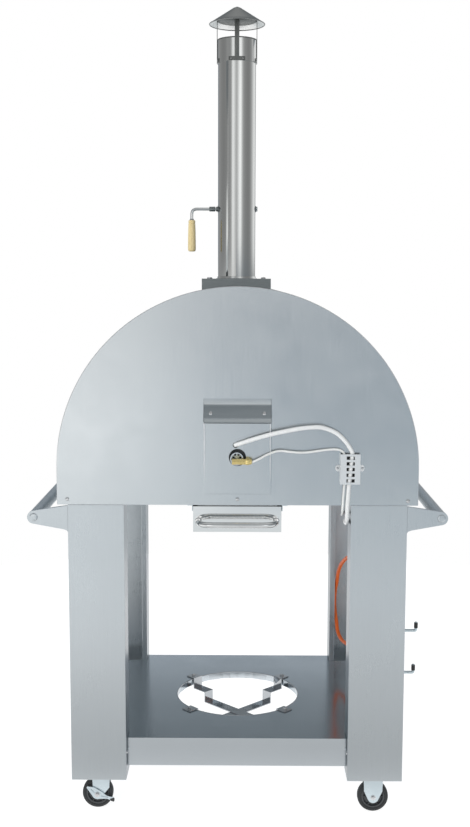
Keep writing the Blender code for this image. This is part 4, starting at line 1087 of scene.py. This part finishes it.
# Burner and gas lines -------------------------------------
def burner_details():
    tube_low, tube_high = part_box("burner_tube")
    centre = (tube_low + tube_high) / 2
    radius = (tube_high.x - tube_low.x) / 2
    rim = [(radius - 0.0016, 0.0), (radius + 0.0006, 0.0), (radius + 0.0010, 0.0008),
           (radius + 0.0006, 0.0020), (radius - 0.0016, 0.0020)]
    at = (centre.x, tube_low.y - 0.0006, centre.z)
    piece("burner_rim", lathe(rim, at, AHEAD, 48, True), BRIGHT_LOOK)
    # Air shutter: a disc with six ports behind the fitting.
    plate = lathe(drum(radius - 0.0022, 0.0, 0.0014), (0, 0, 0), UP, 48)
    ports = []
    for i in range(6):
        angle = 2 * math.pi * i / 6
        ports.append(lathe(drum(0.0026, -0.01, 0.01),
                           (0.0080 * math.cos(angle), 0.0080 * math.sin(angle), 0), UP, 16))
    shutter = carved(plate, ports)
    moved(shutter, Matrix.Translation((centre.x, behind(0.012), centre.z)) @ turn_to(AHEAD))
    piece("air_shutter", shutter, ZINC_LOOK)
    # Rings round the port.
    port_x, port_z = 0.0, middle("burner_tube").z + 0.0031
    cover_y = low("access_cover").y
    # The ring is real but painted dark, partly as the shaded gap round the port.
    ring = [(0.0186, -0.0050), (0.0194, -0.0050), (0.0194, 0.0), (0.0200, 0.0002),
            (0.0200, 0.0008), (0.0194, 0.0011), (0.0188, 0.0008)]
    shapes = [lathe(ring, (port_x, cover_y, port_z), -AHEAD, 64, True)]
    piece("port_ring", shapes, RUBBER_LOOK)
    # Painted shade: a dark disc closes the gap between the port and the burner tube.
    gap_shade = lathe(drum(0.0188, 0.0, 0.0012), (port_x, cover_y + 0.0050, port_z), -AHEAD, 64)
    bore = lathe(drum(radius - 0.0004, -0.01, 0.01), (centre.x, cover_y + 0.0045, centre.z),
                 -AHEAD, 48)
    piece("port_seal", carved(gap_shade, [bore]), RUBBER_LOOK)
    # Pressed ribs down the cover's sides, which run out above its foot, in a brighter steel than
    # the cover: painted highlights along its folds.
    cover_low, cover_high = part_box("access_cover")
    ribs = []
    for x in (cover_low.x + 0.0022, cover_high.x - 0.0022):
        line = [Vector((x, cover_y, cover_high.z - 0.0005 - 0.135 * i / 24)) for i in range(25)]
        ribs.append(sweep(line, [0.0014 * (1 - (i / 24) ** 2.2) + 0.0001 for i in range(25)], 14))
    piece("access_cover_ribs", ribs, COVER_LOOK)

    fit_low, fit_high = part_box("gas_fitting")
    fit = Vector(((fit_low.x + fit_high.x) / 2, behind(-0.020), 0.8690))
    collar = [(0.0030, 0.0), (0.0060, 0.0), (0.0064, 0.0005), (0.0064, 0.0030),
              (0.0048, 0.0042), (0.0030, 0.0042)]
    shapes = [lathe(collar, (fit_high.x - 0.0002, fit.y, fit.z), RIGHT, 28, True)]
    shapes.append(hex_nut(0.0078, 0.0085, 0.0007, (fit_high.x - 0.0105, fit.y, fit.z), RIGHT))
    piece("gas_nuts", shapes, BRASS_LOOK)


SLEEVE_ROUTE = [
    (-0.0045, 0.020, 0.9053), (-0.0045, 0.004, 0.9053), (0.0011, -0.0130, 0.9085),
    (0.046, -0.0190, 0.9239), (0.0856, -0.0200, 0.9347), (0.1385, -0.0190, 0.9454),
    (0.1728, -0.0170, 0.9490), (0.1965, -0.0150, 0.9478), (0.2259, -0.0120, 0.9363),
    (0.2472, -0.0090, 0.9178), (0.2622, -0.0072, 0.8964), (0.2663, -0.0068, 0.8830),
    (0.2629, -0.0068, 0.8489), (0.2591, -0.0068, 0.8092), (0.2576, -0.0080, 0.7857),
    (0.2560, -0.0085, 0.7618), (0.2560, -0.0030, 0.7400), (0.2572, 0.0200, 0.7180),
    (0.2580, 0.0600, 0.7120), (0.2625, 0.0820, 0.7120), (0.2800, 0.0895, 0.7120),
    (0.3120, 0.0890, 0.7120), (0.3360, 0.0890, 0.7120), (0.3480, 0.0930, 0.7120),
    (0.3530, 0.1020, 0.7120), (0.3530, 0.1090, 0.7120)]
LINE_ROUTE = [
    (0.0297, -0.0200, 0.8690), (0.0370, -0.0200, 0.8692), (0.0516, -0.0180, 0.8755),
    (0.0728, -0.0130, 0.8861), (0.0966, -0.0110, 0.8930), (0.1257, -0.0100, 0.8903),
    (0.1523, -0.0090, 0.8889), (0.1789, -0.0090, 0.8918), (0.2054, -0.0080, 0.8954),
    (0.2266, -0.0070, 0.8964), (0.2398, -0.0065, 0.8934), (0.2478, -0.0060, 0.8830),
    (0.2482, -0.0060, 0.8485), (0.2483, -0.0060, 0.8135), (0.2464, -0.0060, 0.7852),
    (0.2451, -0.0060, 0.7614), (0.2451, -0.0010, 0.7480), (0.2462, 0.0200, 0.7370),
    (0.2510, 0.0550, 0.7330), (0.2620, 0.0850, 0.7320), (0.2860, 0.0900, 0.7320),
    (0.3200, 0.0890, 0.7320), (0.3410, 0.0890, 0.7320), (0.3520, 0.0940, 0.7320),
    (0.3560, 0.1020, 0.7320), (0.3560, 0.1092, 0.7320)]


def gas_lines():
    route = [Vector((x, behind(depth), z)) for x, depth, z in SLEEVE_ROUTE]
    line = smooth_route(route, 260)
    radii = [0.0050 + 0.00018 * math.sin(i * 1.9) + 0.00012 * math.sin(i * 0.31)
             for i in range(len(line))]
    piece("spark_lead_sleeve", sweep(line, radii, 20), SLEEVE_LOOK,
          stands_for=("ignition_sleeve",), angle=TUBE)
    route = [Vector((x, behind(depth), z)) for x, depth, z in LINE_ROUTE]
    line = smooth_route(route, 200)
    piece("gas_pipe", sweep(line, 0.0026, 16), PIPE_LOOK,
          stands_for=("gas_tube",), angle=TUBE)
    # A dark sheet behind the perforated cover, painted shade that makes its slots read dark, and
    # the cover's ears, each with its screw.
    cover_low, cover_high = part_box("line_cover")
    slot_shade = block((cover_low.x + 0.0020, behind(-0.0012), cover_low.z + 0.0020),
                   (cover_high.x - 0.0020, behind(-0.0001), cover_high.z - 0.0020), 0.0003, 2)
    piece("line_cover_gasket", slot_shade, RUBBER_LOOK)
    z = (cover_low.z + cover_high.z) / 2 + 0.0010
    shapes, places = [], []
    for side, edge in ((-1, cover_low.x), (1, cover_high.x)):
        outline = [(0, -0.0075), (0.0065, -0.0075), (0.0098, -0.0050), (0.0110, 0.0),
                   (0.0098, 0.0050), (0.0065, 0.0075), (0, 0.0075)]
        if side < 0:
            outline = [(-u, v) for u, v in outline[::-1]]
        ear = slab(outline, 0.0012, 0.0002)
        place = Matrix.Translation((edge, behind(-0.0002), z)) @ Matrix.Rotation(
            math.radians(90), 4, "X")
        moved(ear, place)
        shapes.append(ear)
        places.append(((edge + side * 0.0060, behind(-0.0014), z), -AHEAD, 0.0031, 30 + side * 20))
    piece("line_cover_ears", shapes, COVER_LOOK)
    fasteners("line_cover_screws", SCREW, places, FIXING_LOOK)


def valve_details():
    case_low, case_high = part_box("valve_casing")
    knob_low, knob_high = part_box("gas_knob")
    centre = (knob_low + knob_high) / 2
    radius = (knob_high.z - knob_low.z) / 2
    tall = knob_high.x - knob_low.x
    profile = round_off([(0, tall), (radius * 0.76, tall), (radius * 0.86, tall - 0.004),
                         (radius * 0.92, 0.005), (radius, 0.0036), (radius, 0.0), (0, 0.0)],
                        0.0016, 3)
    shape = lathe(profile, (0, 0, 0), UP, 96)
    for vert in shape.verts:
        way = Vector((vert.co.x, vert.co.y))
        if way.length > radius * 0.70 and 0.0050 < vert.co.z < tall - 0.0006:
            wave = 0.5 + 0.5 * math.cos(12 * math.atan2(way.y, way.x))
            vert.co.x -= way.x / way.length * 0.0011 * (1 - wave)
            vert.co.y -= way.y / way.length * 0.0011 * (1 - wave)
    place = Matrix.Translation((knob_low.x, centre.y, centre.z)) @ turn_to(RIGHT)
    moved(shape, place)
    piece("gas_knob_grip", shape, PLASTIC_LOOK, "knob", ("gas_knob",))
    mark = block((knob_high.x - 0.0004, centre.y - 0.0009, centre.z + 0.0040),
                 (knob_high.x + 0.0003, centre.y + 0.0009, centre.z + 0.0130), 0.0002, 2)
    piece("gas_knob_mark", mark, DIAL_LOOK, "knob")

    button_low, button_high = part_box("igniter_button")
    centre = (button_low + button_high) / 2
    r = (button_high.z - button_low.z) / 2
    tall = button_high.x - button_low.x
    line = round_off([(0, tall - 0.0008), (r * 0.55, tall - 0.0006), (r * 0.80, tall),
                      (r, tall - 0.0016), (r, 0.0), (0, 0.0)], 0.0010, 4)
    piece("igniter_cap", lathe(line, (button_low.x, centre.y, centre.z), RIGHT, 40), PLASTIC_LOOK,
          "button", ("igniter_button",))
    ring = [(0.0090, 0.0), (0.0128, 0.0), (0.0128, 0.0010), (0.0116, 0.0024), (0.0094, 0.0024),
            (0.0090, 0.0018)]
    face = case_high.x
    piece("igniter_ring", lathe(ring, (face - 0.0002, centre.y, centre.z), RIGHT, 48, True),
          FIXING_LOOK)
    inset = 0.0075
    fasteners("valve_casing_screws", SCREW,
              [((face, y, z), RIGHT, 0.0028, spin)
               for y, z, spin in ((case_low.y + inset, case_low.z + inset, 10),
                                  (case_high.y - inset, case_low.z + inset, 33),
                                  (case_low.y + inset, case_high.z - inset, 61),
                                  (case_high.y - inset, case_high.z - inset, 80))],
              FIXING_LOOK)
    hose_x, hose_depth, _ = HOSE_ROUTE[0]
    nut = hex_nut(0.0076, 0.0080, 0.0006, (hose_x, behind(hose_depth),
                                           low("hose_elbow").z + 0.0004), start=0.2)
    piece("hose_nut", nut, BRASS_LOOK)


# Drawer ---------------------------------------------------
def drawer_details():
    bar_low, bar_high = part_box("drawer_handle")
    r = (bar_high.z - bar_low.z) / 2
    z = (bar_low.z + bar_high.z) / 2
    corners = [(bar_low.x + r, bar_high.y, z), (bar_low.x + r, bar_low.y + r, z),
               (bar_high.x - r, bar_low.y + r, z), (bar_high.x - r, bar_high.y, z)]
    piece("drawer_pull", sweep(bent(corners, 0.036, 14), r, 24), BRIGHT_LOOK, "drawer",
          ("drawer_handle",), angle=TUBE)
    ring = [(r + 0.0001, 0.0), (r + 0.0011, 0.0), (r + 0.0010, 0.0005), (r + 0.0004, 0.0011),
            (r + 0.0001, 0.0012)]
    face = low("drawer_tray").y
    shapes = [lathe(ring, (x, face, z), -AHEAD, 36, True)
              for x in (bar_low.x + r, bar_high.x - r)]
    piece("drawer_pull_rings", shapes, FIXING_LOOK, "drawer")
    rail_low, rail_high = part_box("drawer_frame")
    places = [((side * 0.0995, y, rail_low.z), -UP, 0.0030, 20 * i)
              for side in (-1, 1) for i, y in enumerate((rail_high.y - 0.03, rail_low.y + 0.05))]
    fasteners("drawer_frame_screws", SCREW, places, FIXING_LOOK)


# Shelf, cradle, hooks and bars ----------------------------
def cart_details():
    top = high("bottle_cradle").z
    mid = (REAR + FRONT) / 2
    reach = 0.1745
    places = []
    for i in range(4):
        turn = math.radians(45 + 90 * i)
        places.append(((reach * math.cos(turn), mid + reach * math.sin(turn), top), UP, 0.0050,
                       15 * i))
    fasteners("cradle_bolts", BOLT, places, FIXING_LOOK)

    # Rolled lip round the bottle hole.
    shelf_top = high("bottom_shelf").z
    radius = 0.162
    lip = [(radius - 0.0002 + 0.0012 * math.cos(a), shelf_top - 0.0006 + 0.0012 * math.sin(a))
           for a in (2 * math.pi * i / 12 for i in range(12))]
    piece("bottle_hole_lip", lathe(lip, (0, mid, 0), UP, 128, True), STRAP_LOOK)

    # Screws that hold the shelf's ends to the inner faces of the legs.
    for side, name in ((-1, "left"), (1, "right")):
        inner = abs(low("leg_rear_right").x)
        fasteners(f"shelf_screws_{name}", SCREW,
                  [((side * inner, y, shelf_top - 0.030), (-side, 0, 0), 0.0040, 25 * i)
                   for i, y in enumerate((REAR + 0.016, FRONT - 0.016))],
                  FIXING_LOOK)

    # Hooks: a bright bar with a black tip on its upturned end.
    for name in ("tool_hook_upper", "tool_hook_lower"):
        box_low, box_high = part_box(name)
        r = 0.0050
        y = (box_low.y + box_high.y) / 2
        x = box_high.x - r
        z = box_low.z + r
        corners = [(box_low.x, y, z), (x, y, z), (x, y, box_high.z)]
        piece(f"{name}_bar", sweep(bent(corners, 0.0040, 8), r * 0.72, 20), ZINC_LOOK,
              stands_for=(name,), angle=TUBE)
        tip = round_off([(0, 0.0), (r * 0.80, 0.0), (r * 0.92, 0.0010), (r * 0.92, 0.0130),
                         (r * 0.6, 0.0150), (0, 0.0152)], 0.0008, 3)
        rise = box_high.z - 0.0150
        piece(f"{name}_tip", lathe(tip, (x, y, rise), UP, 32), PLASTIC_LOOK)
        boss = [(0, 0.0), (r * 1.9, 0.0), (r * 1.9, 0.0014), (r * 1.1, 0.0028), (0, 0.0028)]
        piece(f"{name}_boss", lathe(boss, (box_low.x - 0.0002, y, z), RIGHT, 32), FIXING_LOOK)

    # Tubes of the push bars run through their arms and end in domed caps.
    for side, name in ((-1, "push_bar_left"), (1, "push_bar_right")):
        box_low, box_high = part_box(name)
        x = side * 0.4770
        z = 0.7325
        shapes = []
        for y, way in ((box_low.y + 0.0002, -AHEAD), (box_high.y - 0.0002, AHEAD)):
            cap = round_off([(0, 0.0014), (0.0075, 0.0012), (0.0100, 0.0)], 0.002, 3)
            shapes.append(lathe(cap + [(0, 0.0)], (x, y, z), way, 40))
        piece(f"{name}_caps", shapes, UPRIGHT_LOOK)
        around = max(abs(box_low.x), abs(box_high.x)) - abs(x) - 0.0008
        ends = [(x, REAR + 0.0098, z), (x, FRONT - 0.0098, z)]
        piece(f"{name}_tube", sweep(ends, around, 64), ALONG_LOOK,
              angle=TUBE)


# Door -----------------------------------------------------
STROKES = {
    "0": [[(0, 0), (1, 0), (1, 2), (0, 2), (0, 0)]],
    "1": [[(0.5, 0), (0.5, 2)]],
    "2": [[(0, 2), (1, 2), (1, 1), (0, 1), (0, 0), (1, 0)]],
    "3": [[(0, 2), (1, 2), (1, 0), (0, 0)], [(0.3, 1), (1, 1)]],
    "4": [[(0, 2), (0, 1), (1, 1)], [(1, 2), (1, 0)]],
    "5": [[(1, 2), (0, 2), (0, 1), (1, 1), (1, 0), (0, 0)]]}


def door_details():
    panel_low, panel_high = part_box("door_panel")
    face = panel_high.y
    grip_low, grip_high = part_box("door_grip")
    arm_low, arm_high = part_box("door_bracket")
    r = 0.0050
    z = (arm_low.z + arm_high.z) / 2
    corners = [(arm_low.x + r, face, z), (arm_low.x + r, arm_high.y - r, z),
               (arm_high.x - r, arm_high.y - r, z), (arm_high.x - r, face, z)]
    piece("door_handle_bar", sweep(bent(corners, 0.018, 12), r, 20), BRIGHT_LOOK, "door",
          ("door_bracket",), angle=TUBE)
    ring = [(0, 0.0), (0.0150, 0.0), (0.0150, 0.0010), (0.0138, 0.0022), (0.0070, 0.0034),
            (0, 0.0034)]
    shapes = [lathe(ring, (x, face, z), AHEAD, 40) for x in (arm_low.x + r, arm_high.x - r)]
    piece("door_handle_rings", shapes, FIXING_LOOK, "door")
    radius = (grip_high.z - grip_low.z) / 2
    half = (grip_high.x - grip_low.x) / 2
    line = [(0.0054, half), (radius * 0.60, half), (radius * 0.76, half - 0.0010),
            (radius * 0.84, half - 0.0035), (radius * 0.84, half - 0.0080),
            (radius * 0.76, half - 0.0088), (radius * 0.76, half - 0.0100),
            (radius * 0.84, half - 0.0108), (radius * 0.94, half * 0.55), (radius, 0.0)]
    line += [(a, -b) for a, b in line[-2::-1]]
    centre = (grip_low + grip_high) / 2
    piece("door_handle_grip", lathe(line, centre, RIGHT, 48, True), WOOD_ACROSS_LOOK, "door",
          ("door_grip",), angle=50)

    # Thermometer: bezel, dial with ticks and generic numbers, pointer and glass.
    dial_low, dial_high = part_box("door_thermometer")
    at = Vector(((dial_low.x + dial_high.x) / 2, dial_low.y, (dial_low.z + dial_high.z) / 2))
    big = (dial_high.x - dial_low.x) / 2
    tall = dial_high.y - dial_low.y
    bezel = [(0, 0.0), (big, 0.0), (big, tall - 0.0030), (big - 0.0010, tall - 0.0008),
             (big - 0.0028, tall), (big - 0.0046, tall - 0.0010), (big - 0.0050, tall - 0.0036),
             (0, tall - 0.0036)]
    piece("thermometer_bezel", lathe(bezel, at, AHEAD, 72), BRIGHT_LOOK, "door",
          ("door_thermometer",))
    dial_y = at.y + tall - 0.0035
    disc = drum(big - 0.0052, 0.0, 0.0004)
    piece("thermometer_dial", lathe(disc, (at.x, dial_y, at.z), AHEAD, 64), DIAL_LOOK, "door")
    # The dial reads from in front of the oven, so its own right is towards -X.
    plane = Matrix(((-1, 0, 0, at.x), (0, 0, 1, dial_y + 0.0004), (0, 1, 0, at.z), (0, 0, 0, 1)))
    shapes = []

    def bar(start, end, wide):
        start, end = Vector(start), Vector(end)
        way = (end - start).normalized()
        side = Vector((-way.y, way.x)) * wide / 2
        end += way * wide / 2
        start -= way * wide / 2
        outline = [start - side, end - side, end + side, start + side]
        shape = slab([tuple(p) for p in outline], 0.00015)
        moved(shape, plane)
        return shape

    for i in range(26):
        angle = math.radians(225 - 270 * i / 25)
        way = Vector((math.cos(angle), math.sin(angle)))
        reach = 0.0032 if i % 5 == 0 else 0.0016
        shapes.append(bar(way * (0.0238 - reach), way * 0.0238, 0.0005 if i % 5 == 0 else 0.0003))
    for i in range(6):
        angle = math.radians(225 - 270 * i / 5)
        way = Vector((math.cos(angle), math.sin(angle))) * 0.0168
        text = str(i * 100) if i else "0"
        size = 0.0011
        for k, digit in enumerate(text):
            left = way.x + (k - len(text) / 2) * size * 1.7 + size * 0.35
            for stroke in STROKES[digit]:
                for first, second in zip(stroke, stroke[1:]):
                    shapes.append(bar((left + first[0] * size, way.y + (first[1] - 1) * size),
                                      (left + second[0] * size, way.y + (second[1] - 1) * size),
                                      0.00032))
    piece("thermometer_marks", shapes, MARK_LOOK, "door")
    way = Vector((math.cos(math.radians(205)), math.sin(math.radians(205))))
    side = Vector((-way.y, way.x))
    outline = [way * -0.0050 - side * 0.0008, way * 0.0195, way * -0.0050 + side * 0.0008]
    needle = slab([tuple(p) for p in outline], 0.0003)
    lift = Matrix.Translation((0, 0.0006, 0)) @ plane
    moved(needle, lift)
    hub = lathe([(0, 0.0015), (0.0012, 0.0013), (0.0020, 0.0008), (0.0020, 0.0), (0, 0.0)],
                (at.x, dial_y + 0.0003, at.z), AHEAD, 24)
    piece("thermometer_pointer", [needle, hub], POINTER_LOOK, "door")
    dome = [(0, tall - 0.0002), (big * 0.4, tall - 0.0004), (big - 0.0044, tall - 0.0012),
            (big - 0.0044, tall - 0.0018), (0, tall - 0.0012)]
    piece("thermometer_glass", lathe(dome, at, AHEAD, 64), GLASS_LOOK, "door")

    # A raised fold round the door's edge.
    radius = high("door_panel").x - 0.0060
    bottom = panel_low.z + 0.0060
    line = [Vector((radius, face, bottom))]
    line += [Vector((radius * math.cos(a), face, SPRING_Z + radius * math.sin(a)))
             for a in (math.pi * i / 64 for i in range(65))]
    line += [Vector((-radius, face, bottom))]
    piece("door_fold", sweep(line, 0.0022, 12), PANEL_LOOK, "door", angle=TUBE)
    fasteners("door_rivets", RIVET,
              [((radius * 0.90 * math.cos(a), face, SPRING_Z + radius * 0.90 * math.sin(a)),
                AHEAD, 0.0040, 0) for a in (math.radians(t) for t in (10, 50, 90, 130, 170))],
              FIXING_LOOK, "door")


# Castors --------------------------------------------------
def castor_details(corner, fork_body, wheel_body):
    wheel_low, wheel_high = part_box(f"castor_wheel_{corner}")
    centre = (wheel_low + wheel_high) / 2
    r = (wheel_high.z - wheel_low.z) / 2
    half = (wheel_high.y - wheel_low.y) / 2
    tyre_in = r * 0.74
    tyre = [(tyre_in, half * 0.86), (tyre_in + 0.0012, half * 0.98), (r * 0.86, half),
            (r * 0.95, half * 0.90), (r * 0.988, half * 0.66), (r, half * 0.30)]
    tyre += [(a, -b) for a, b in tyre[::-1]]
    tyre = round_off(tyre + [tyre[0]], 0.0008, 2)[:-1]
    piece(f"castor_tyre_{corner}", lathe(tyre, centre, AHEAD, 80, True), RUBBER_LOOK, wheel_body,
          (f"castor_wheel_{corner}",), angle=45)
    hub = [(0.0043, half * 0.96), (0.0086, half * 0.96), (0.0094, half * 0.88),
           (0.0096, half * 0.45), (tyre_in * 0.82, half * 0.38), (tyre_in * 0.88, half * 0.80),
           (tyre_in + 0.0004, half * 0.84)]
    hub += [(a, -b) for a, b in hub[::-1]]
    shapes = [lathe(hub, centre, AHEAD, 64, True)]
    for i in range(6):
        for side in (-1, 1):
            rib = block((0.0088, -0.0010, 0), (tyre_in * 0.86, 0.0010, half * 0.40), 0.0004, 1)
            turn = (Matrix.Translation(centre + AHEAD * side * half * 0.38)
                    @ turn_to((0, side, 0)) @ Matrix.Rotation(2 * math.pi * i / 6, 4, "Z"))
            moved(rib, turn)
            shapes.append(rib)
    piece(f"castor_hub_{corner}", shapes, HUB_LOOK, wheel_body)

    fork_low, fork_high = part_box(f"castor_fork_{corner}")
    places = [((centre.x, fork_low.y, centre.z), -AHEAD, 0.0052, 10),
              ((centre.x, fork_high.y, centre.z), AHEAD, 0.0052, 25)]
    if fork_body != "cart":
        lever = low(f"brake_lever_{corner}")
        places[0] = ((centre.x, lever.y, centre.z), -AHEAD, 0.0052, 10)
    fasteners(f"castor_axle_nuts_{corner}", BOLT, places, FIXING_LOOK, fork_body)
    if fork_body == "cart":
        return
    # Swivel race under the leg, and the lever's black pad and pressed rib.
    fork_mid = (fork_low + fork_high) / 2
    top = fork_high.z
    race = round_off([(0.0060, 0.0), (0.0170, 0.0), (0.0185, -0.0022), (0.0150, -0.0045),
                      (0.0060, -0.0045)], 0.0010, 3)
    shapes = [lathe(race, (fork_mid.x, fork_mid.y, top - 0.0052), UP, 56, True)]
    piece(f"castor_race_{corner}", shapes, ZINC_LOOK, fork_body)
    lever_low, lever_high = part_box(f"brake_lever_{corner}")
    body = f"lever_{corner}"
    tip_x, tip_z = lever_high.x - 0.0002, lever_low.z + 0.0030
    outline = [(-0.0100, -0.0012), (-0.0060, -0.0034), (-0.0022, -0.0046), (0.0, -0.0040),
               (0.0008, -0.0014), (0.0004, 0.0030), (-0.0016, 0.0048), (-0.0044, 0.0042),
               (-0.0100, 0.0026)]
    pad = slab(outline, lever_high.y - lever_low.y + 0.0016, 0.0005)
    place = Matrix.Translation((tip_x, lever_high.y + 0.0008, tip_z)) @ Matrix.Rotation(
        math.radians(90), 4, "X")
    moved(pad, place)
    piece(f"brake_pad_{corner}", pad, PLASTIC_LOOK, body)
    rib_line = [(centre.x - 0.0160, lever_low.y - 0.0001, centre.z + 0.0135),
                (centre.x - 0.0075, lever_low.y - 0.0001, centre.z + 0.0040)]
    more = [(centre.x + 0.0085, lever_low.y - 0.0001, centre.z - 0.0038),
            (centre.x + 0.0260, lever_low.y - 0.0001, centre.z - 0.0072)]
    piece(f"brake_rib_{corner}", [sweep(rib_line, 0.0011, 10), sweep(more, 0.0011, 10)],
          ZINC_LOOK, body)


body_details()
chimney_details()
damper_details()
burner_details()
gas_lines()
valve_details()
drawer_details()
cart_details()
door_details()
for corner, fork_body in (("rear_left", "fork_rear_left"), ("front_left", "fork_front_left"),
                          ("rear_right", "cart"), ("front_right", "cart")):
    castor_details(corner, fork_body, f"wheel_{corner}")


# Studio ---------------------------------------------------
def studio():
    scene = bpy.context.scene
    scene.view_settings.view_transform = "Standard"
    floor_shape = bmesh.new()
    floor_r = 2.3
    bmesh.ops.create_circle(floor_shape, cap_ends=True, segments=128, radius=floor_r)
    floor = bpy.data.objects.new("floor", mesh_of(floor_shape, "floor", flat=True))
    scene.collection.objects.link(floor)
    pale = Nodes("floor", (0.40, 0.40, 0.40), 0.8)
    cloud = pale.noise(3.0, 3.0, 0.5)
    pale.colour(pale.mix(cloud, (0.39, 0.39, 0.39), (0.41, 0.41, 0.41)))
    # The floor glows: its emission is painted, near white except for a darker band across y = -1.5
    # to -0.5 m between the camera and the oven, which fades out to the sides and which the steel
    # mirrors.
    parts = pale.add("ShaderNodeSeparateXYZ", {0: pale.place}).outputs
    along = pale.spread(parts[1], -floor_r, 0.0, 0.0, 1.0)
    glow = pale.ramp(along, [(0.0, 0.86), (0.10, 0.80), (0.36, 0.46), (0.60, 0.40), (0.70, 0.31),
                             (0.765, 0.44), (0.81, 0.86), (1.0, 0.88)])
    aside = pale.spread(pale.math("ABSOLUTE", parts[0], 0.0), 0.55, 1.35, 0.0, 1.0)
    glow = pale.mix(aside, glow, (0.87, 0.87, 0.87))
    pale.tree.links.new(glow, pale.shader.inputs["Emission Color"])
    pale.shader.inputs["Emission Strength"].default_value = 1.0
    floor.data.materials.append(pale.made)

    world = bpy.data.worlds.new("studio")
    scene.world = world
    world.use_nodes = True
    tree = world.node_tree
    tree.nodes.clear()

    def add(kind, links=(), **values):
        return add_node(tree, kind, links, **values)

    def ramp(source, low_in, high_in, stops):
        share = add("ShaderNodeMapRange", {"Value": source, "From Min": low_in,
                                           "From Max": high_in}).outputs["Result"]
        return add_ramp(tree, share, [((at - low_in) / (high_in - low_in),
                                       tuple(colour) if len(colour) > 1 else colour[0])
                                      for at, *colour in stops])

    def blend(source, low_in, high_in, first, second):
        share = add("ShaderNodeMapRange", {"Value": source, "From Min": low_in,
                                           "From Max": high_in},
                    interpolation_type="SMOOTHSTEP").outputs["Result"]
        first, second = (value if isinstance(value, bpy.types.NodeSocket) else (*value, 1.0)
                         for value in (first, second))
        return add("ShaderNodeMix", {0: share, 6: first, 7: second}, data_type="RGBA").outputs[2]

    way = add("ShaderNodeTexCoord").outputs["Generated"]
    parts = add("ShaderNodeSeparateXYZ", {0: way}).outputs
    back = add("ShaderNodeMath", {0: parts[1], 1: -1.0}, operation="MULTIPLY").outputs[0]
    turn = add("ShaderNodeMath", {0: parts[0], 1: back}, operation="ARCTAN2").outputs[0]
    # Softboxes and flags round the flue, by the angle from straight behind the camera.
    flue = [(-180, .27, .32, .37), (-150, .31, .34, .37), (-135, .50), (-109, .42), (-90, .38),
            (-73, .40), (-60, .50), (-50, .50), (-40, .48), (-33, .70), (-26, 1.55), (-18, 1.50),
            (-11, 1.10), (-3, .78), (4, .95), (11, 1.40), (19, 1.85), (25, 1.80), (32, 1.05),
            (40, .62), (49, .48), (60, .42), (73, .38), (88, .44), (100, .65), (110, .95),
            (125, 1.35), (143, 1.30), (158, .40), (180, .27, .32, .37)]
    upper = ramp(turn, -math.pi, math.pi,
                 [(math.radians(at), *value) for at, *value in flue])
    # A bright wall left of the camera and a cooler, dimmer one right of it.
    walls = [(-180, .80, .82, .84), (-140, .60, .61, .62), (-95, .84, .85, .86),
             (-50, 1.38, 1.38, 1.37), (-7, 1.56, 1.54, 1.52), (0, .40, .465, .53),
             (9, .42, .485, .545), (50, .36, .43, .49), (100, .42, .46, .50), (140, .60, .61, .62),
             (180, .80, .82, .84)]
    middle_ring = ramp(turn, -math.pi, math.pi,
                       [(math.radians(at), *colour) for at, *colour in walls])
    lower = ramp(parts[2], -0.5, 0.0,
                 [(-0.50, .52, .56, .58), (-0.40, .60, .64, .65), (-0.36, .68, .73, .74),
                  (-0.32, .80, .85, .87), (-0.28, .90, .93, .94), (-0.237, .74, .78, .80),
                  (-0.20, .78, .82, .84)])
    fall = ramp(parts[2], -0.25, 0.02, [(-0.21, 1.16), (-0.16, 1.13), (-0.10, .98),
                                        (-0.05, .82), (-0.01, .68), (0.02, .66)])
    shaded = add("ShaderNodeMix", {0: 1.0, 6: middle_ring, 7: fall}, data_type="RGBA",
                 blend_type="MULTIPLY")
    mixed = blend(parts[2], -0.213, -0.175, lower, shaded.outputs[2])
    mixed = blend(parts[2], -0.01, 0.03, mixed, upper)
    # The far wall has a pale band that the shelf's far edge mirrors.
    far_band = blend(parts[2], 0.26, 0.30, mixed, (0.80, 0.85, 0.90))
    mixed = blend(parts[2], 0.22, 0.34, mixed, (0.28, 0.30, 0.315))
    far_band = blend(parts[2], 0.322, 0.345, far_band, (0.21, 0.235, 0.25))
    mixed = blend(parts[1], 0.30, 0.60, mixed, far_band)
    mixed = blend(parts[2], 0.64, 0.84, mixed, (0.62, 0.63, 0.63))
    glow = add("ShaderNodeBackground", {"Color": mixed, "Strength": 1.0})
    white = add("ShaderNodeBackground", {"Color": (1, 1, 1, 1), "Strength": 1.0})
    seen = add("ShaderNodeLightPath").outputs["Is Camera Ray"]
    both = add("ShaderNodeMixShader", {0: seen, 1: glow.outputs[0], 2: white.outputs[0]})
    tree.links.new(both.outputs[0], add("ShaderNodeOutputWorld").inputs["Surface"])

    def softbox(name, at, aim, wide, tall, power, colour=(1, 1, 1)):
        lamp = bpy.data.lights.new(name, "AREA")
        lamp.shape = "RECTANGLE"
        lamp.size, lamp.size_y = wide, tall
        lamp.energy = power
        lamp.color = colour
        item = bpy.data.objects.new(name, lamp)
        turn = (Vector(aim) - Vector(at)).to_track_quat("-Z", "Y")
        item.matrix_world = Matrix.Translation(at) @ turn.to_matrix().to_4x4()
        item.visible_camera = False
        item.visible_glossy = False
        scene.collection.objects.link(item)

    softbox("key", (-1.9, -2.4, 1.9), (-0.2, -0.3, 0.9), 1.4, 1.8, 42, (1.0, 0.99, 0.97))
    softbox("fill", (0.9, 2.6, 2.2), (0.0, 0.3, 0.9), 1.6, 1.6, 14)


studio()
